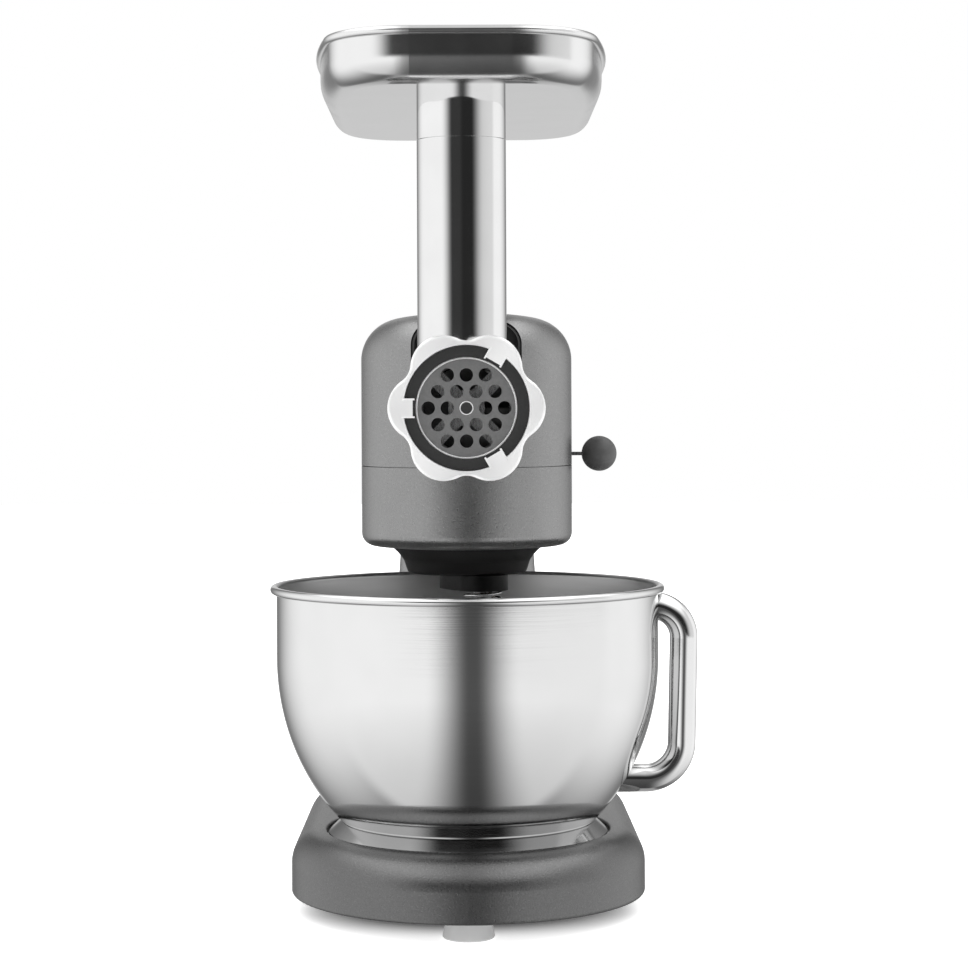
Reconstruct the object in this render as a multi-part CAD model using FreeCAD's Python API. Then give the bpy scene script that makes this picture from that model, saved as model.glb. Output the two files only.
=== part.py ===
import FreeCAD, Part
import math
import os

# Tilt-head stand mixer that drives a meat grinder through the power hub in its nose.
# Millimetres. The pieces are drawn around the bowl axis, with +Z up and the nose towards -Y,
# and are then moved so that the middle of the front foot's sole is the origin.

# Fits
running_clearance = 0.04
sliding_clearance = 0.05
body_gap = 0.3
seam_gap = 0.4
screw_clearance = 0.3

# Feet
foot_height = 11.0
foot_top_r = 12.25
foot_sole_r = 14.25
front_foot_y = -77.0
side_foot_x = 66.0
side_foot_y = 26.0
rear_foot_x = 52.0
rear_foot_y = 176.0

# Base and column casting
base_front_r = 101.0
base_rear_r = 100.0
base_rear_center_y = 144.0
base_height = 36.0
base_shoulder_r = 18.2
base_bottom_edge_r = 2.0
base_rim_wall = 13.0
base_deck = 5.0
recess_r = 81.0
recess_edge_r = 1.4
seat_depth = 3.0
seat_plate_thickness = 2.0
base_cover_thickness = 3.0
column_foot_half_width = 52.0
column_foot_front_y = 104.0
column_foot_rear_y = 209.0
column_foot_corner_r = 34.0
column_top_half_width = 41.7
column_top_front_y = 124.0
column_top_rear_y = 207.0
column_top_corner_r = 28.0
column_wall = 7.0
column_root_r = 12.0
column_joint_rise = 0.6

# Bowl, its foot ring and its handle
bowl_wall_r = 109.2
bowl_wall = 1.2
bowl_curve_z = 145.0
bowl_curve_height = 124.0
bowl_rim_z = 184.0
bowl_bead_r = 2.4
foot_ring_r = 73.4
foot_ring_flare_r = 79.8
foot_ring_edge = 1.5
foot_ring_groove = 1.0
foot_ring_wall = 1.7
foot_ring_height = 9.0
foot_ring_flange_r = 58.0
bayonet_tabs = 3
bayonet_tab_angle = 40.0
bayonet_hook_angle = 36.0
bayonet_tab_depth = 4.3
bayonet_tab_height = 2.0
bayonet_hook_wall = 3.5
bayonet_hook_height = 6.0
handle_tube_r = 8.0
handle_leg_x = 124.4
handle_leg_slant = 2.3
handle_top_z = 173.3
handle_bottom_z = 74.5
handle_top_bend_r = 18.0
handle_bottom_bend_r = 21.0

# Head
head_bottom = 209.0
head_height = 131.0
seam_height = 45.3
head_half_width = 60.2
nose_length = 69.5
head_straight = 165.0
tail_length = 75.0
head_wall = 3.2
head_top_r = 24.0
head_bottom_r = 7.0
head_crown_r = 406.0
seam_lip_wall = 1.6
seam_lip_height = 3.0
seam_lip_depth = 5.0

# Tilt hinge
hinge_y = 180.0
hinge_z = 192.0
hinge_pin_r = 5.0
tongue_half_width = 18.0
tongue_r = 14.0
tilt_relief_angle = 37.0
tilt_relief_start = 6.0
rest_pad_thickness = 3.7
rest_pad_half_width = 16.0
rest_pad_length = 14.0
release_button_r = 8.0
release_button_y = 162.0
release_button_z = 154.0
release_button_reach = 8.0
release_flange_r = 11.0
release_flange_thickness = 3.0

# Planetary drive
orbit_r = 21.0
orbit_phase = 24.5
gear_module = 1.5
ring_teeth = 40
pinion_teeth = 12
main_teeth = 57
backlash = 0.3
ring_gear_r = 36.5
ring_gear_height = 8.0
skirt_top_r = 45.0
skirt_waist_r = 36.2
skirt_bottom_r = 33.8
skirt_wall = 2.7
skirt_edge_r = 2.2
skirt_drop = 16.0
carrier_clearance = 0.5
carrier_hub_r = 15.8
carrier_boss_r = 14.3
carrier_nose_drop = 9.0
planetary_shaft_r = 7.0
beater_shaft_r = 6.0
beater_shaft_bottom = 132.0
beater_bush_r = 8.0
beater_bush_length = 6.0
beater_pin_r = 2.2
beater_pin_length = 26.0
beater_pin_rise = 10.0
spring_wire_r = 1.0
spring_mean_r = 10.0
spring_pitch = 3.6
spring_turns = 4

# Gear train
gearbox_plate_thickness = 6.0
gearbox_plate_half_width = 45.0
gearbox_plate_front_y = -38.0
gearbox_plate_rear_y = 76.0
gearbox_post_x = 40.0
gearbox_post_r = 4.5
gearbox_post_front_y = -32.0
gearbox_post_rear_y = 68.0
gearbox_post_height = 11.0
planetary_bearing_r = 17.0
bearing_width = 7.0
main_gear_rise = 4.0
main_gear_width = 8.0
main_gear_hub_r = 11.0
layshaft_r = 5.0
layshaft_bearing_r = 11.0
bridge_plate_z = 298.0
bridge_plate_thickness = 5.0
bridge_half_width = 45.0
bridge_leg = 6.0
bridge_length = 28.0
pulley_z = 310.0
pulley_width = 12.0
driven_pulley_r = 40.0
driven_pulley_web = 4.0
driven_pulley_rim = 5.0
driven_pulley_hub_r = 10.0
belt_thickness = 2.0
belt_margin = 1.0
bevel_module = 2.0
bevel_teeth = 20
bevel_face = 8.0
bevel_back = 3.0

# Motor
motor_y = 125.0
motor_can_r = 38.0
motor_can_wall = 2.8
motor_can_end = 3.0
motor_can_bottom = 226.0
motor_can_height = 70.0
motor_post_r = 5.0
motor_post_circle_r = 29.0
stator_bore_r = 24.0
core_height = 44.0
core_rise = 14.0
air_gap = 0.6
motor_shaft_r = 4.0
motor_bearing_r = 9.0
motor_bearing_width = 5.0
motor_pulley_r = 8.0
fan_r = 30.0
fan_plate = 1.5
fan_blade_height = 5.0
fan_blade_thickness = 1.5
fan_blades = 9
fan_rise = 3.0

# Speed control
lever_pivot_x = 22.0
lever_y = 20.0
lever_rise = 6.0
lever_thickness = 2.0
lever_width = 7.0
lever_eye_r = 6.0
lever_pin_r = 3.0
lever_swing = 26.0
knob_x = 77.0
knob_r = 10.2
knob_seat_depth = 5.0
switch_length = 20.0
switch_height = 11.0
switch_overhang = 8.0
board_front_y = 172.0
board_length = 42.0
board_half_width = 34.0
board_z = 240.0
board_thickness = 1.6
board_post_r = 3.5
board_post_inset = 5.0

# Power port and hub
hub_axis_z = 287.0
port_half_width = 30.5
port_bottom = 259.0
port_top = 335.0
port_corner_r = 13.0
port_floor_y = -53.0
liner_wall = 1.8
liner_clearance = 0.15
liner_setback = 0.8
hub_r = 25.0
hub_bore_r = 19.05
hub_front_y = -55.7
hub_shoulder_y = -31.0
hub_rear_y = -25.2
hub_flange_r = 27.4
hub_flange_thickness = 4.0
hub_bush_r = 14.0
hub_shaft_r = 9.0
hub_shaft_front_y = -47.0
hub_shaft_neck_r = 7.0
square_drive = 9.0
square_socket_depth = 17.0

# Grinder
barrel_neck_r = 25.4
barrel_neck_length = 17.0
barrel_r = 28.5
thread_r = 31.5
thread_length = 20.0
barrel_front_y = -136.2
rear_wall = 6.0
spigot_length = 24.0
spigot_bore_r = 11.0
chamber_r = 22.6
mouth_depth = 10.2
plate_r = 27.5
plate_clearance = 0.1
plate_thickness = 5.5
plate_proud = 0.8
plate_hole_r = 3.5
plate_hole_pitch = 9.9
plate_rows = (3, 4, 5, 4, 3)
auger_stud_r = 3.15
auger_core_r = 8.0
auger_pitch = 24.0
auger_flight_thickness = 3.5
auger_clearance = 0.5
auger_tail_length = 18.0
auger_journal_length = 8.0
knife_square = 8.0
knife_thickness = 4.4
knife_arm_r = 25.5
knife_arm_width = 9.0
knife_hub_r = 9.5
knife_arms = 4
clamp_ring_bore_r = 26.5
clamp_ring_thickness = 2.0
nut_lobes = 6
nut_lobe_r = 40.9
nut_valley_r = 35.0
nut_lobe_round_r = 17.0
nut_length = 21.5
nut_front_y = -141.0
nut_opening_r = 32.7
nut_tab_reach_r = 27.8
nut_tab_width = 9.4
nut_tab_angles = (180.0, 60.0, 300.0)
nut_edge_r = 1.8
tube_x = -2.2
tube_y = -94.0
tube_r = 23.9
tube_wall = 2.5
tube_top = 430.0

# Tray
tray_bottom = 454.0
tray_height = 26.0
tray_x = -2.2
tray_half_width = 79.0
tray_front_y = -156.7
tray_rear_y = 137.0
tray_bow_r = 660.0
tray_corner_r = 44.0
tray_bottom_r = 14.0
tray_wall = 1.2
tray_bead_r = 2.3
neck_insert_length = 28.0
neck_wall = 1.8

# Fasteners
cover_screw_r = 2.0
cover_screw_head_r = 3.8
cover_screw_head_height = 2.4
cover_screw_x = 50.5
cover_screw_front_y = -10.0
cover_screw_rear_y = 150.0
cover_screw_grip = 22.0
cover_boss_r = 4.6
small_screw_r = 1.7
small_screw_head_r = 3.3
small_screw_head_height = 1.6
small_screw_length = 9.0
seat_screw_circle_r = 45.0
seat_screws = 4
base_screw_circle_x = 72.0
base_screw_front_y = -34.0
base_screw_rear_y = 120.0
gland_r = 9.0
gland_bore_r = 3.6
gland_flange_r = 12.0
gland_flange_thickness = 3.0
gland_z = 25.0

# Levels and places that follow from the sizes above
base_bottom = foot_height
base_top = base_bottom + base_height
seat_z = base_top - seat_depth
recess_floor = seat_z - seat_plate_thickness
deck_under = recess_floor - base_deck
column_joint_z = base_top + column_joint_rise
column_top = head_bottom - rest_pad_thickness - body_gap
bowl_bottom = seat_z + body_gap + foot_ring_height
head_top = head_bottom + head_height
seam_z = head_bottom + seam_height
head_floor = head_bottom + head_wall
beater_x = orbit_r * math.sin(math.radians(orbit_phase))
beater_y = -orbit_r * math.cos(math.radians(orbit_phase))
skirt_bottom = head_bottom - skirt_drop
carrier_r = skirt_bottom_r - skirt_wall - carrier_clearance
carrier_top = head_floor - body_gap
carrier_bottom = skirt_bottom - carrier_nose_drop
gearbox_plate_z = head_floor + gearbox_post_height
gearbox_plate_top = gearbox_plate_z + gearbox_plate_thickness
main_gear_z = gearbox_plate_top + main_gear_rise
layshaft_y = gear_module * (main_teeth + pinion_teeth) / 2
pulley_top = pulley_z + pulley_width
motor_can_top = motor_can_bottom + motor_can_height
core_z = motor_can_bottom + core_rise
lever_z = seam_z + lever_rise
hub_shaft_gear_y = -bevel_module * bevel_teeth / 2 * 0.7
barrel_rear_y = hub_front_y - body_gap
chamber_rear_y = barrel_rear_y - rear_wall
mouth_y = barrel_front_y + mouth_depth
plate_front_y = barrel_front_y - plate_proud
plate_rear_y = plate_front_y + plate_thickness
clamp_front_y = plate_front_y - clamp_ring_thickness
knife_front_y = plate_rear_y + body_gap
knife_rear_y = knife_front_y + knife_thickness
nut_rear_y = nut_front_y + nut_length
tube_bore_r = tube_r - tube_wall
tray_top = tray_bottom + tray_height
shaft_top = pulley_top + 3.0

X_AXIS = FreeCAD.Vector(1, 0, 0)
Y_AXIS = FreeCAD.Vector(0, 1, 0)
Z_AXIS = FreeCAD.Vector(0, 0, 1)


def point(x, y, z):
    return FreeCAD.Vector(x, y, z)


def upright(radius, low, high, x=0.0, y=0.0):
    return Part.makeCylinder(radius, high - low, point(x, y, low))


def along_y(radius, near, far, x=0.0, z=hub_axis_z):
    start = min(near, far)
    return Part.makeCylinder(radius, abs(far - near), point(x, start, z), Y_AXIS)


def along_x(radius, left, right, y, z):
    return Part.makeCylinder(radius, right - left, point(left, y, z), X_AXIS)


def block(x0, x1, y0, y1, z0, z1):
    return Part.makeBox(x1 - x0, y1 - y0, z1 - z0, point(x0, y0, z0))


def upright_ring(outer, inner, low, high, x=0.0, y=0.0):
    return upright(outer, low, high, x, y).cut(upright(inner, low - 1, high + 1, x, y))


def ring_along_y(outer, inner, near, far):
    start = min(near, far)
    end = max(near, far)
    return along_y(outer, start, end).cut(along_y(inner, start - 1, end + 1))


def joined(shapes):
    whole = shapes[0]
    if len(shapes) > 1:
        whole = shapes[0].multiFuse(shapes[1:])
    return whole.removeSplitter()


def prism(edges, low, high):
    face = Part.Face(Part.Wire(Part.__sortEdges__(edges)))
    face.translate(point(0, 0, low))
    return face.extrude(point(0, 0, high - low))


def polygon_edges(corners):
    wire = Part.makePolygon(corners + [corners[0]])
    return wire.Edges


def turned(corners):
    """Solid of revolution about Z from corners given as radius and height."""
    wire = Part.makePolygon([point(r, 0, z) for r, z in corners + [corners[0]]])
    return Part.Face(wire).revolve(point(0, 0, 0), Z_AXIS, 360)


def edges_between(shape, low, high):
    found = []
    for edge in shape.Edges:
        box = edge.BoundBox
        if box.ZMin > low and box.ZMax < high:
            found.append(edge)
    return found


def upright_edges(shape):
    found = []
    for edge in shape.Edges:
        box = edge.BoundBox
        if box.XLength < 0.01 and box.YLength < 0.01:
            found.append(edge)
    return found


def hull_edges(r1, y1, r2, y2, x1=0.0, x2=0.0):
    """Outline of two circles and their outer tangents, at height zero."""
    start = point(x1, y1, 0)
    end = point(x2, y2, 0)
    distance = start.distanceToPoint(end)
    heading = math.atan2(y2 - y1, x2 - x1)
    spread = math.acos((r1 - r2) / distance)

    def on_circle(center, radius, angle):
        return point(center.x + radius * math.cos(angle), center.y + radius * math.sin(angle), 0)

    first = [on_circle(start, r1, heading + spread), on_circle(end, r2, heading + spread)]
    second = [on_circle(start, r1, heading - spread), on_circle(end, r2, heading - spread)]
    near = Part.Arc(first[0], on_circle(start, r1, heading + math.pi), second[0]).toShape()
    far = Part.Arc(first[1], on_circle(end, r2, heading), second[1]).toShape()
    return [near, Part.makeLine(second[0], second[1]), far, Part.makeLine(first[1], first[0])]


def rounded_rectangle(half_width, front, rear, corner_r, z):
    """Closed wire with its sides along X and Y, for lofts and prisms."""
    corners = [(-half_width, front), (half_width, front), (half_width, rear), (-half_width, rear)]
    inward = [(1, 1), (-1, 1), (-1, -1), (1, -1)]
    edges = []
    ends = []
    for (x, y), (sx, sy) in zip(corners, inward):
        bend = corner_r * (1 - math.sqrt(0.5))
        along = point(x + sx * corner_r, y, z)
        across = point(x, y + sy * corner_r, z)
        middle = point(x + sx * bend, y + sy * bend, z)
        ends.append((along, middle, across))
    order = [(2, 0), (0, 2), (2, 0), (0, 2)]
    for i in range(4):
        first, last = order[i]
        edges.append(Part.Arc(ends[i][first], ends[i][1], ends[i][last]).toShape())
        following = order[(i + 1) % 4][0]
        edges.append(Part.makeLine(ends[i][last], ends[(i + 1) % 4][following]))
    return Part.Wire(Part.__sortEdges__(edges))


def screw(radius, length, head_r, head_height, place, upward):
    """Pan-head screw whose head rests on the given place."""
    if upward:
        shank = upright(radius, place.z, place.z + length, place.x, place.y)
        head = upright(head_r, place.z - head_height, place.z, place.x, place.y)
    else:
        shank = upright(radius, place.z - length, place.z, place.x, place.y)
        head = upright(head_r, place.z, place.z + head_height, place.x, place.y)
    return joined([shank, head])


def save(name, shape):
    moved = shape.copy()
    moved.translate(point(0, -front_foot_y, 0))
    moved.exportStep("parts/" + name + ".step")
    kinds = [solid.isValid() for solid in moved.Solids]
    print(name, len(kinds), "solids", all(kinds), round(moved.Volume), "mm3")


# Gears


def involute(angle):
    return math.tan(angle) - angle


def gear_outline(teeth, tip_extra, root_extra, thinning, phase):
    """Closed outline of a spur gear, with a tooth centred on the phase angle in degrees."""
    pitch_r = gear_module * teeth / 2
    pressure = math.radians(20)
    base_r = pitch_r * math.cos(pressure)
    tip_r = pitch_r + tip_extra
    root_r = pitch_r - root_extra
    flank_start = max(base_r, root_r)
    half_tooth = math.pi / (2 * teeth) - thinning / (2 * pitch_r)
    flank = [flank_start, pitch_r, tip_r]
    corners = []
    for tooth in range(teeth):
        middle = math.radians(phase) + 2 * math.pi * tooth / teeth
        offsets = []
        for radius in flank:
            at_radius = math.acos(min(1.0, base_r / radius))
            offsets.append(half_tooth + involute(pressure) - involute(at_radius))
        side = [(root_r, offsets[0])] + list(zip(flank, offsets))
        if flank_start - root_r < 0.01:
            side = side[1:]
        for radius, offset in side:
            corners.append(point(radius * math.cos(middle - offset), radius * math.sin(middle - offset), 0))
        for radius, offset in reversed(side):
            corners.append(point(radius * math.cos(middle + offset), radius * math.sin(middle + offset), 0))
    return polygon_edges(corners)


def spur_gear(teeth, low, high, bore_r, phase):
    edges = gear_outline(teeth, gear_module, 1.25 * gear_module, backlash, phase)
    return prism(edges, low, high).cut(upright(bore_r, low - 1, high + 1))


def bevel_gear(bore_r, phase):
    """Mitre gear with its apex at the origin, opening along +Z."""
    pitch_r = bevel_module * bevel_teeth / 2
    cone = pitch_r * math.sqrt(2)
    shrink = (cone - bevel_face) / cone
    root = 1.25 * bevel_module
    outer = (pitch_r - root / math.sqrt(2), pitch_r + root / math.sqrt(2))
    inner = (outer[0] * shrink, outer[1] * shrink)
    back = outer[1] + bevel_back
    body = turned([(bore_r, inner[1]), inner, outer, (outer[0], back), (bore_r, back)])
    normal = point(math.sqrt(0.5), 0, -math.sqrt(0.5))
    tooth_sides = [(-root - 0.2, 1.0), (0.0, 0.62), (bevel_module * 0.9, 0.28)]
    profile = [(height, -half * bevel_module) for height, half in tooth_sides]
    profile += [(height, half * bevel_module) for height, half in reversed(tooth_sides)]
    pitch_point = point(pitch_r, 0, pitch_r)
    large = [pitch_point + normal * height + Y_AXIS * side for height, side in profile]
    small = [corner * shrink for corner in large]
    sections = [Part.makePolygon(corners + [corners[0]]) for corners in (large, small)]
    tooth = Part.makeLoft(sections, True, True)
    teeth = []
    for i in range(bevel_teeth):
        copy = tooth.copy()
        copy.rotate(point(0, 0, 0), Z_AXIS, phase + 360.0 * i / bevel_teeth)
        teeth.append(copy)
    return joined([body] + teeth)


# Base and column


def base_slab():
    edges = hull_edges(base_front_r, 0.0, base_rear_r, base_rear_center_y)
    slab = prism(edges, base_bottom, base_top)
    slab = slab.makeFillet(base_shoulder_r, edges_between(slab, base_top - 0.1, base_top + 0.1))
    return slab.makeFillet(base_bottom_edge_r, edges_between(slab, base_bottom - 0.1, base_bottom + 0.1))


def column_sections(inset, low, high):
    """Outer or inset sections of the column at two heights."""
    sections = []
    run = column_top - base_top
    for z in (low, high):
        part = (z - base_top) / run
        half = column_foot_half_width + part * (column_top_half_width - column_foot_half_width)
        front = column_foot_front_y + part * (column_top_front_y - column_foot_front_y)
        rear = column_foot_rear_y + part * (column_top_rear_y - column_foot_rear_y)
        corner = column_foot_corner_r + part * (column_top_corner_r - column_foot_corner_r)
        section = rounded_rectangle(half - inset, front + inset, rear - inset, corner - inset, z)
        sections.append(section)
    return sections


def column_half_width_at(z):
    part = (z - base_top) / (column_top - base_top)
    return column_foot_half_width + part * (column_top_half_width - column_foot_half_width)


def stand_casting():
    """Base and column as one shape, parted afterwards at the joint between them."""
    column = Part.makeLoft(column_sections(0.0, base_top, column_top), True, True)
    stand = joined([base_slab(), column])
    root = []
    for edge in edges_between(stand, base_top - 0.1, base_top + 0.1):
        box = edge.BoundBox
        if box.YMin > column_foot_front_y - 1 and box.XLength < 2 * column_foot_half_width + 1:
            root.append(edge)
    stand = stand.makeFillet(column_root_r, root)
    recess = upright(recess_r, recess_floor, base_top + 1)
    stand = stand.cut(recess)
    rim = []
    for edge in edges_between(stand, base_top - 1.0, base_top + 0.1):
        middle = edge.valueAt((edge.FirstParameter + edge.LastParameter) / 2)
        if abs(math.hypot(middle.x, middle.y) - recess_r) < 0.05:
            rim.append(edge)
    stand = stand.makeFillet(recess_edge_r, rim)
    cavity_front_r = base_front_r - base_rim_wall
    cavity_rear_r = base_rear_r - base_rim_wall
    cavity = prism(hull_edges(cavity_front_r, 0.0, cavity_rear_r, base_rear_center_y),
                   base_bottom - 1, deck_under)
    slot_floor = hinge_z - tongue_r - 1.0
    shaft_top_z = slot_floor - column_wall
    duct = Part.makeLoft(column_sections(column_wall, deck_under - 1, shaft_top_z), True, True)
    stand = stand.cut(cavity).cut(duct)
    slot_half = tongue_half_width + body_gap
    slot = block(-slot_half, slot_half, hinge_y - tongue_r - 1.5, base_rear_center_y + base_rear_r,
                 slot_floor, column_top + 1)
    relief_y = hinge_y + tilt_relief_start
    fall = math.tan(math.radians(tilt_relief_angle))
    relief_corners = [
        point(-base_front_r, relief_y, column_top),
        point(-base_front_r, relief_y + 100, column_top - 100 * fall),
        point(-base_front_r, relief_y + 100, column_top + 10),
        point(-base_front_r, relief_y, column_top + 10),
    ]
    relief_face = Part.Face(Part.makePolygon(relief_corners + [relief_corners[0]]))
    relief = relief_face.extrude(X_AXIS * 2 * base_front_r)
    pin_hole = along_x(hinge_pin_r, -base_front_r, base_front_r, hinge_y, hinge_z)
    button_hole = along_x(release_button_r + sliding_clearance, 0, base_front_r,
                          release_button_y, release_button_z)
    gland_hole = along_y(gland_r, base_rear_center_y, base_rear_center_y + base_rear_r + 1, 0.0, gland_z)
    stand = stand.cut(slot).cut(relief).cut(pin_hole).cut(button_hole).cut(gland_hole)
    for place in base_screw_places():
        boss = upright(cover_boss_r, base_bottom + base_cover_thickness, deck_under + 0.5, place.x, place.y)
        stand = stand.fuse(boss)
    for place in base_screw_places():
        top = base_bottom + base_cover_thickness + small_screw_length
        stand = stand.cut(upright(small_screw_r, base_bottom, top, place.x, place.y))
    for place in seat_screw_places():
        stand = stand.cut(upright(small_screw_r, deck_under - 1, recess_floor + 1, place.x, place.y))
    return stand.removeSplitter()


def joint_side(low, high):
    return block(-base_front_r, base_front_r, -base_front_r, base_rear_center_y + base_rear_r, low, high)


def base_stand(casting):
    return casting.common(joint_side(base_bottom, column_joint_z))


def column_casting(casting):
    return casting.common(joint_side(column_joint_z, column_top))


def base_screw_places():
    z = base_bottom + base_cover_thickness
    places = []
    for y in (base_screw_front_y, base_screw_rear_y):
        places.append(point(-base_screw_circle_x, y, z))
        places.append(point(base_screw_circle_x, y, z))
    return places


def seat_screw_places():
    places = []
    for i in range(seat_screws):
        angle = math.radians(45 + 360.0 * i / seat_screws)
        across = seat_screw_circle_r * math.cos(angle)
        along = seat_screw_circle_r * math.sin(angle)
        places.append(point(across, along, seat_z))
    return places


def base_cover():
    margin = base_rim_wall + screw_clearance
    edges = hull_edges(base_front_r - margin, 0.0, base_rear_r - margin, base_rear_center_y)
    cover = prism(edges, base_bottom, base_bottom + base_cover_thickness)
    for place in base_screw_places():
        head_room = small_screw_head_r + screw_clearance
        cover = cover.cut(upright(small_screw_r, base_bottom - 1, base_top, place.x, place.y))
        sunk = base_bottom + small_screw_head_height
        cover = cover.cut(upright(head_room, base_bottom - 1, sunk, place.x, place.y))
    return cover


def base_cover_screws():
    screws = []
    for place in base_screw_places():
        seat = point(place.x, place.y, base_bottom + small_screw_head_height)
        length = small_screw_length + base_cover_thickness - small_screw_head_height
        screws.append(screw(small_screw_r, length, small_screw_head_r, small_screw_head_height, seat, True))
    return Part.Compound(screws)


def rubber_feet():
    places = [(0.0, front_foot_y), (-side_foot_x, side_foot_y), (side_foot_x, side_foot_y)]
    places += [(-rear_foot_x, rear_foot_y), (rear_foot_x, rear_foot_y)]
    feet = []
    for x, y in places:
        feet.append(Part.makeCone(foot_sole_r, foot_top_r, foot_height, point(x, y, 0)))
    return Part.Compound(feet)


def sector(outer, inner, low, high, middle, width):
    """Part of a ring, centred on an angle in degrees."""
    wire = Part.makePolygon([
        point(inner, 0, low),
        point(outer, 0, low),
        point(outer, 0, high),
        point(inner, 0, high),
        point(inner, 0, low),
    ])
    piece = Part.Face(wire).revolve(point(0, 0, 0), Z_AXIS, width)
    piece.rotate(point(0, 0, 0), Z_AXIS, middle - width / 2)
    return piece


def bayonet_angles():
    return [90.0 + 360.0 * i / bayonet_tabs for i in range(bayonet_tabs)]


def foot_ring_inner_r():
    return foot_ring_r - foot_ring_wall


def bayonet_tab_low():
    return seat_z + 2 * body_gap


def bowl_seat_plate():
    pieces = [upright(recess_r - screw_clearance, recess_floor, seat_z)]
    tab_inner = foot_ring_inner_r() - bayonet_tab_depth
    post_outer = tab_inner - 2 * body_gap
    lip_low = bayonet_tab_low() + bayonet_tab_height + 2 * body_gap
    for middle in bayonet_angles():
        post = sector(post_outer, post_outer - bayonet_hook_wall, seat_z, seat_z + bayonet_hook_height,
                      middle, bayonet_hook_angle)
        lip = sector(foot_ring_inner_r() - 3 * body_gap, post_outer, lip_low, seat_z + bayonet_hook_height,
                     middle, bayonet_hook_angle)
        pieces += [post, lip]
    plate = joined(pieces)
    for place in seat_screw_places():
        plate = plate.cut(upright(small_screw_r, recess_floor - 1, seat_z + 1, place.x, place.y))
    return plate


def seat_plate_screws():
    length = seat_z - deck_under
    screws = []
    for place in seat_screw_places():
        screws.append(screw(small_screw_r, length, small_screw_head_r, small_screw_head_height, place, False))
    return Part.Compound(screws)


def cord_gland():
    rear = base_rear_center_y + base_rear_r
    body = along_y(gland_r, rear - base_rim_wall, rear, 0.0, gland_z)
    flange = along_y(gland_flange_r, rear, rear + gland_flange_thickness, 0.0, gland_z)
    bore = along_y(gland_bore_r, rear - 2 * base_rim_wall, rear + 2 * base_rim_wall, 0.0, gland_z)
    return joined([body, flange]).cut(bore)


def hinge_pin():
    half = column_half_width_at(hinge_z) - 1.0
    return along_x(hinge_pin_r, -half, half, hinge_y, hinge_z)


def head_rest_pad():
    front = column_top_front_y + column_wall
    return block(-rest_pad_half_width, rest_pad_half_width, front, front + rest_pad_length,
                 column_top, column_top + rest_pad_thickness)


def release_button():
    wall_out = column_half_width_at(release_button_z)
    wall_in = wall_out - column_wall
    flange_right = wall_in - 4 * body_gap
    stem = along_x(release_button_r, flange_right, wall_out + release_button_reach,
                   release_button_y, release_button_z)
    tip = []
    for edge in stem.Edges:
        if edge.BoundBox.XMin > wall_out:
            tip.append(edge)
    stem = stem.makeFillet(release_button_r / 4, tip)
    flange = along_x(release_flange_r, flange_right - release_flange_thickness, flange_right,
                     release_button_y, release_button_z)
    return joined([stem, flange])


# Bowl


def bowl_curve_radius(z, inset):
    fall = (bowl_curve_z - z) / (bowl_curve_height - inset)
    return (bowl_wall_r - inset) * math.sqrt(1 - fall * fall)


def bowl_curve_edge(low, inset):
    """Quarter-ellipse stretch of the bowl wall between a low height and the straight wall."""
    center = point(0, 0, bowl_curve_z)
    down = point(0, 0, bowl_curve_z - (bowl_curve_height - inset))
    out = point(bowl_wall_r - inset, 0, bowl_curve_z)
    ellipse = Part.Ellipse(down, out, center)
    start = math.acos((bowl_curve_z - low) / (bowl_curve_height - inset))
    return Part.Arc(ellipse, start, math.pi / 2).toShape()


def bowl_outside():
    """The bowl without its hollow, to cut the handle ends to its wall."""
    low = bowl_curve_radius(bowl_bottom, 0.0)
    edges = [
        bowl_curve_edge(bowl_bottom, 0.0),
        Part.makeLine(point(bowl_wall_r, 0, bowl_curve_z), point(bowl_wall_r, 0, bowl_rim_z)),
        Part.makeLine(point(bowl_wall_r, 0, bowl_rim_z), point(0, 0, bowl_rim_z)),
        Part.makeLine(point(0, 0, bowl_rim_z), point(0, 0, bowl_bottom)),
        Part.makeLine(point(0, 0, bowl_bottom), point(low, 0, bowl_bottom)),
    ]
    return Part.Face(Part.Wire(Part.__sortEdges__(edges))).revolve(point(0, 0, 0), Z_AXIS, 360)


def mixing_bowl():
    floor = bowl_bottom + bowl_wall
    low = bowl_curve_radius(floor, bowl_wall)
    inside_r = bowl_wall_r - bowl_wall
    edges = [
        bowl_curve_edge(floor, bowl_wall),
        Part.makeLine(point(inside_r, 0, bowl_curve_z), point(inside_r, 0, bowl_rim_z + 1)),
        Part.makeLine(point(inside_r, 0, bowl_rim_z + 1), point(0, 0, bowl_rim_z + 1)),
        Part.makeLine(point(0, 0, bowl_rim_z + 1), point(0, 0, floor)),
        Part.makeLine(point(0, 0, floor), point(low, 0, floor)),
    ]
    hollow = Part.Face(Part.Wire(Part.__sortEdges__(edges))).revolve(point(0, 0, 0), Z_AXIS, 360)
    bead_center_r = bowl_wall_r - bowl_wall + bowl_bead_r
    bead = Part.makeTorus(bead_center_r, bowl_bead_r, point(0, 0, bowl_rim_z), Z_AXIS)
    shell = bowl_outside().cut(hollow)
    return joined([shell, bead])


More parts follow.
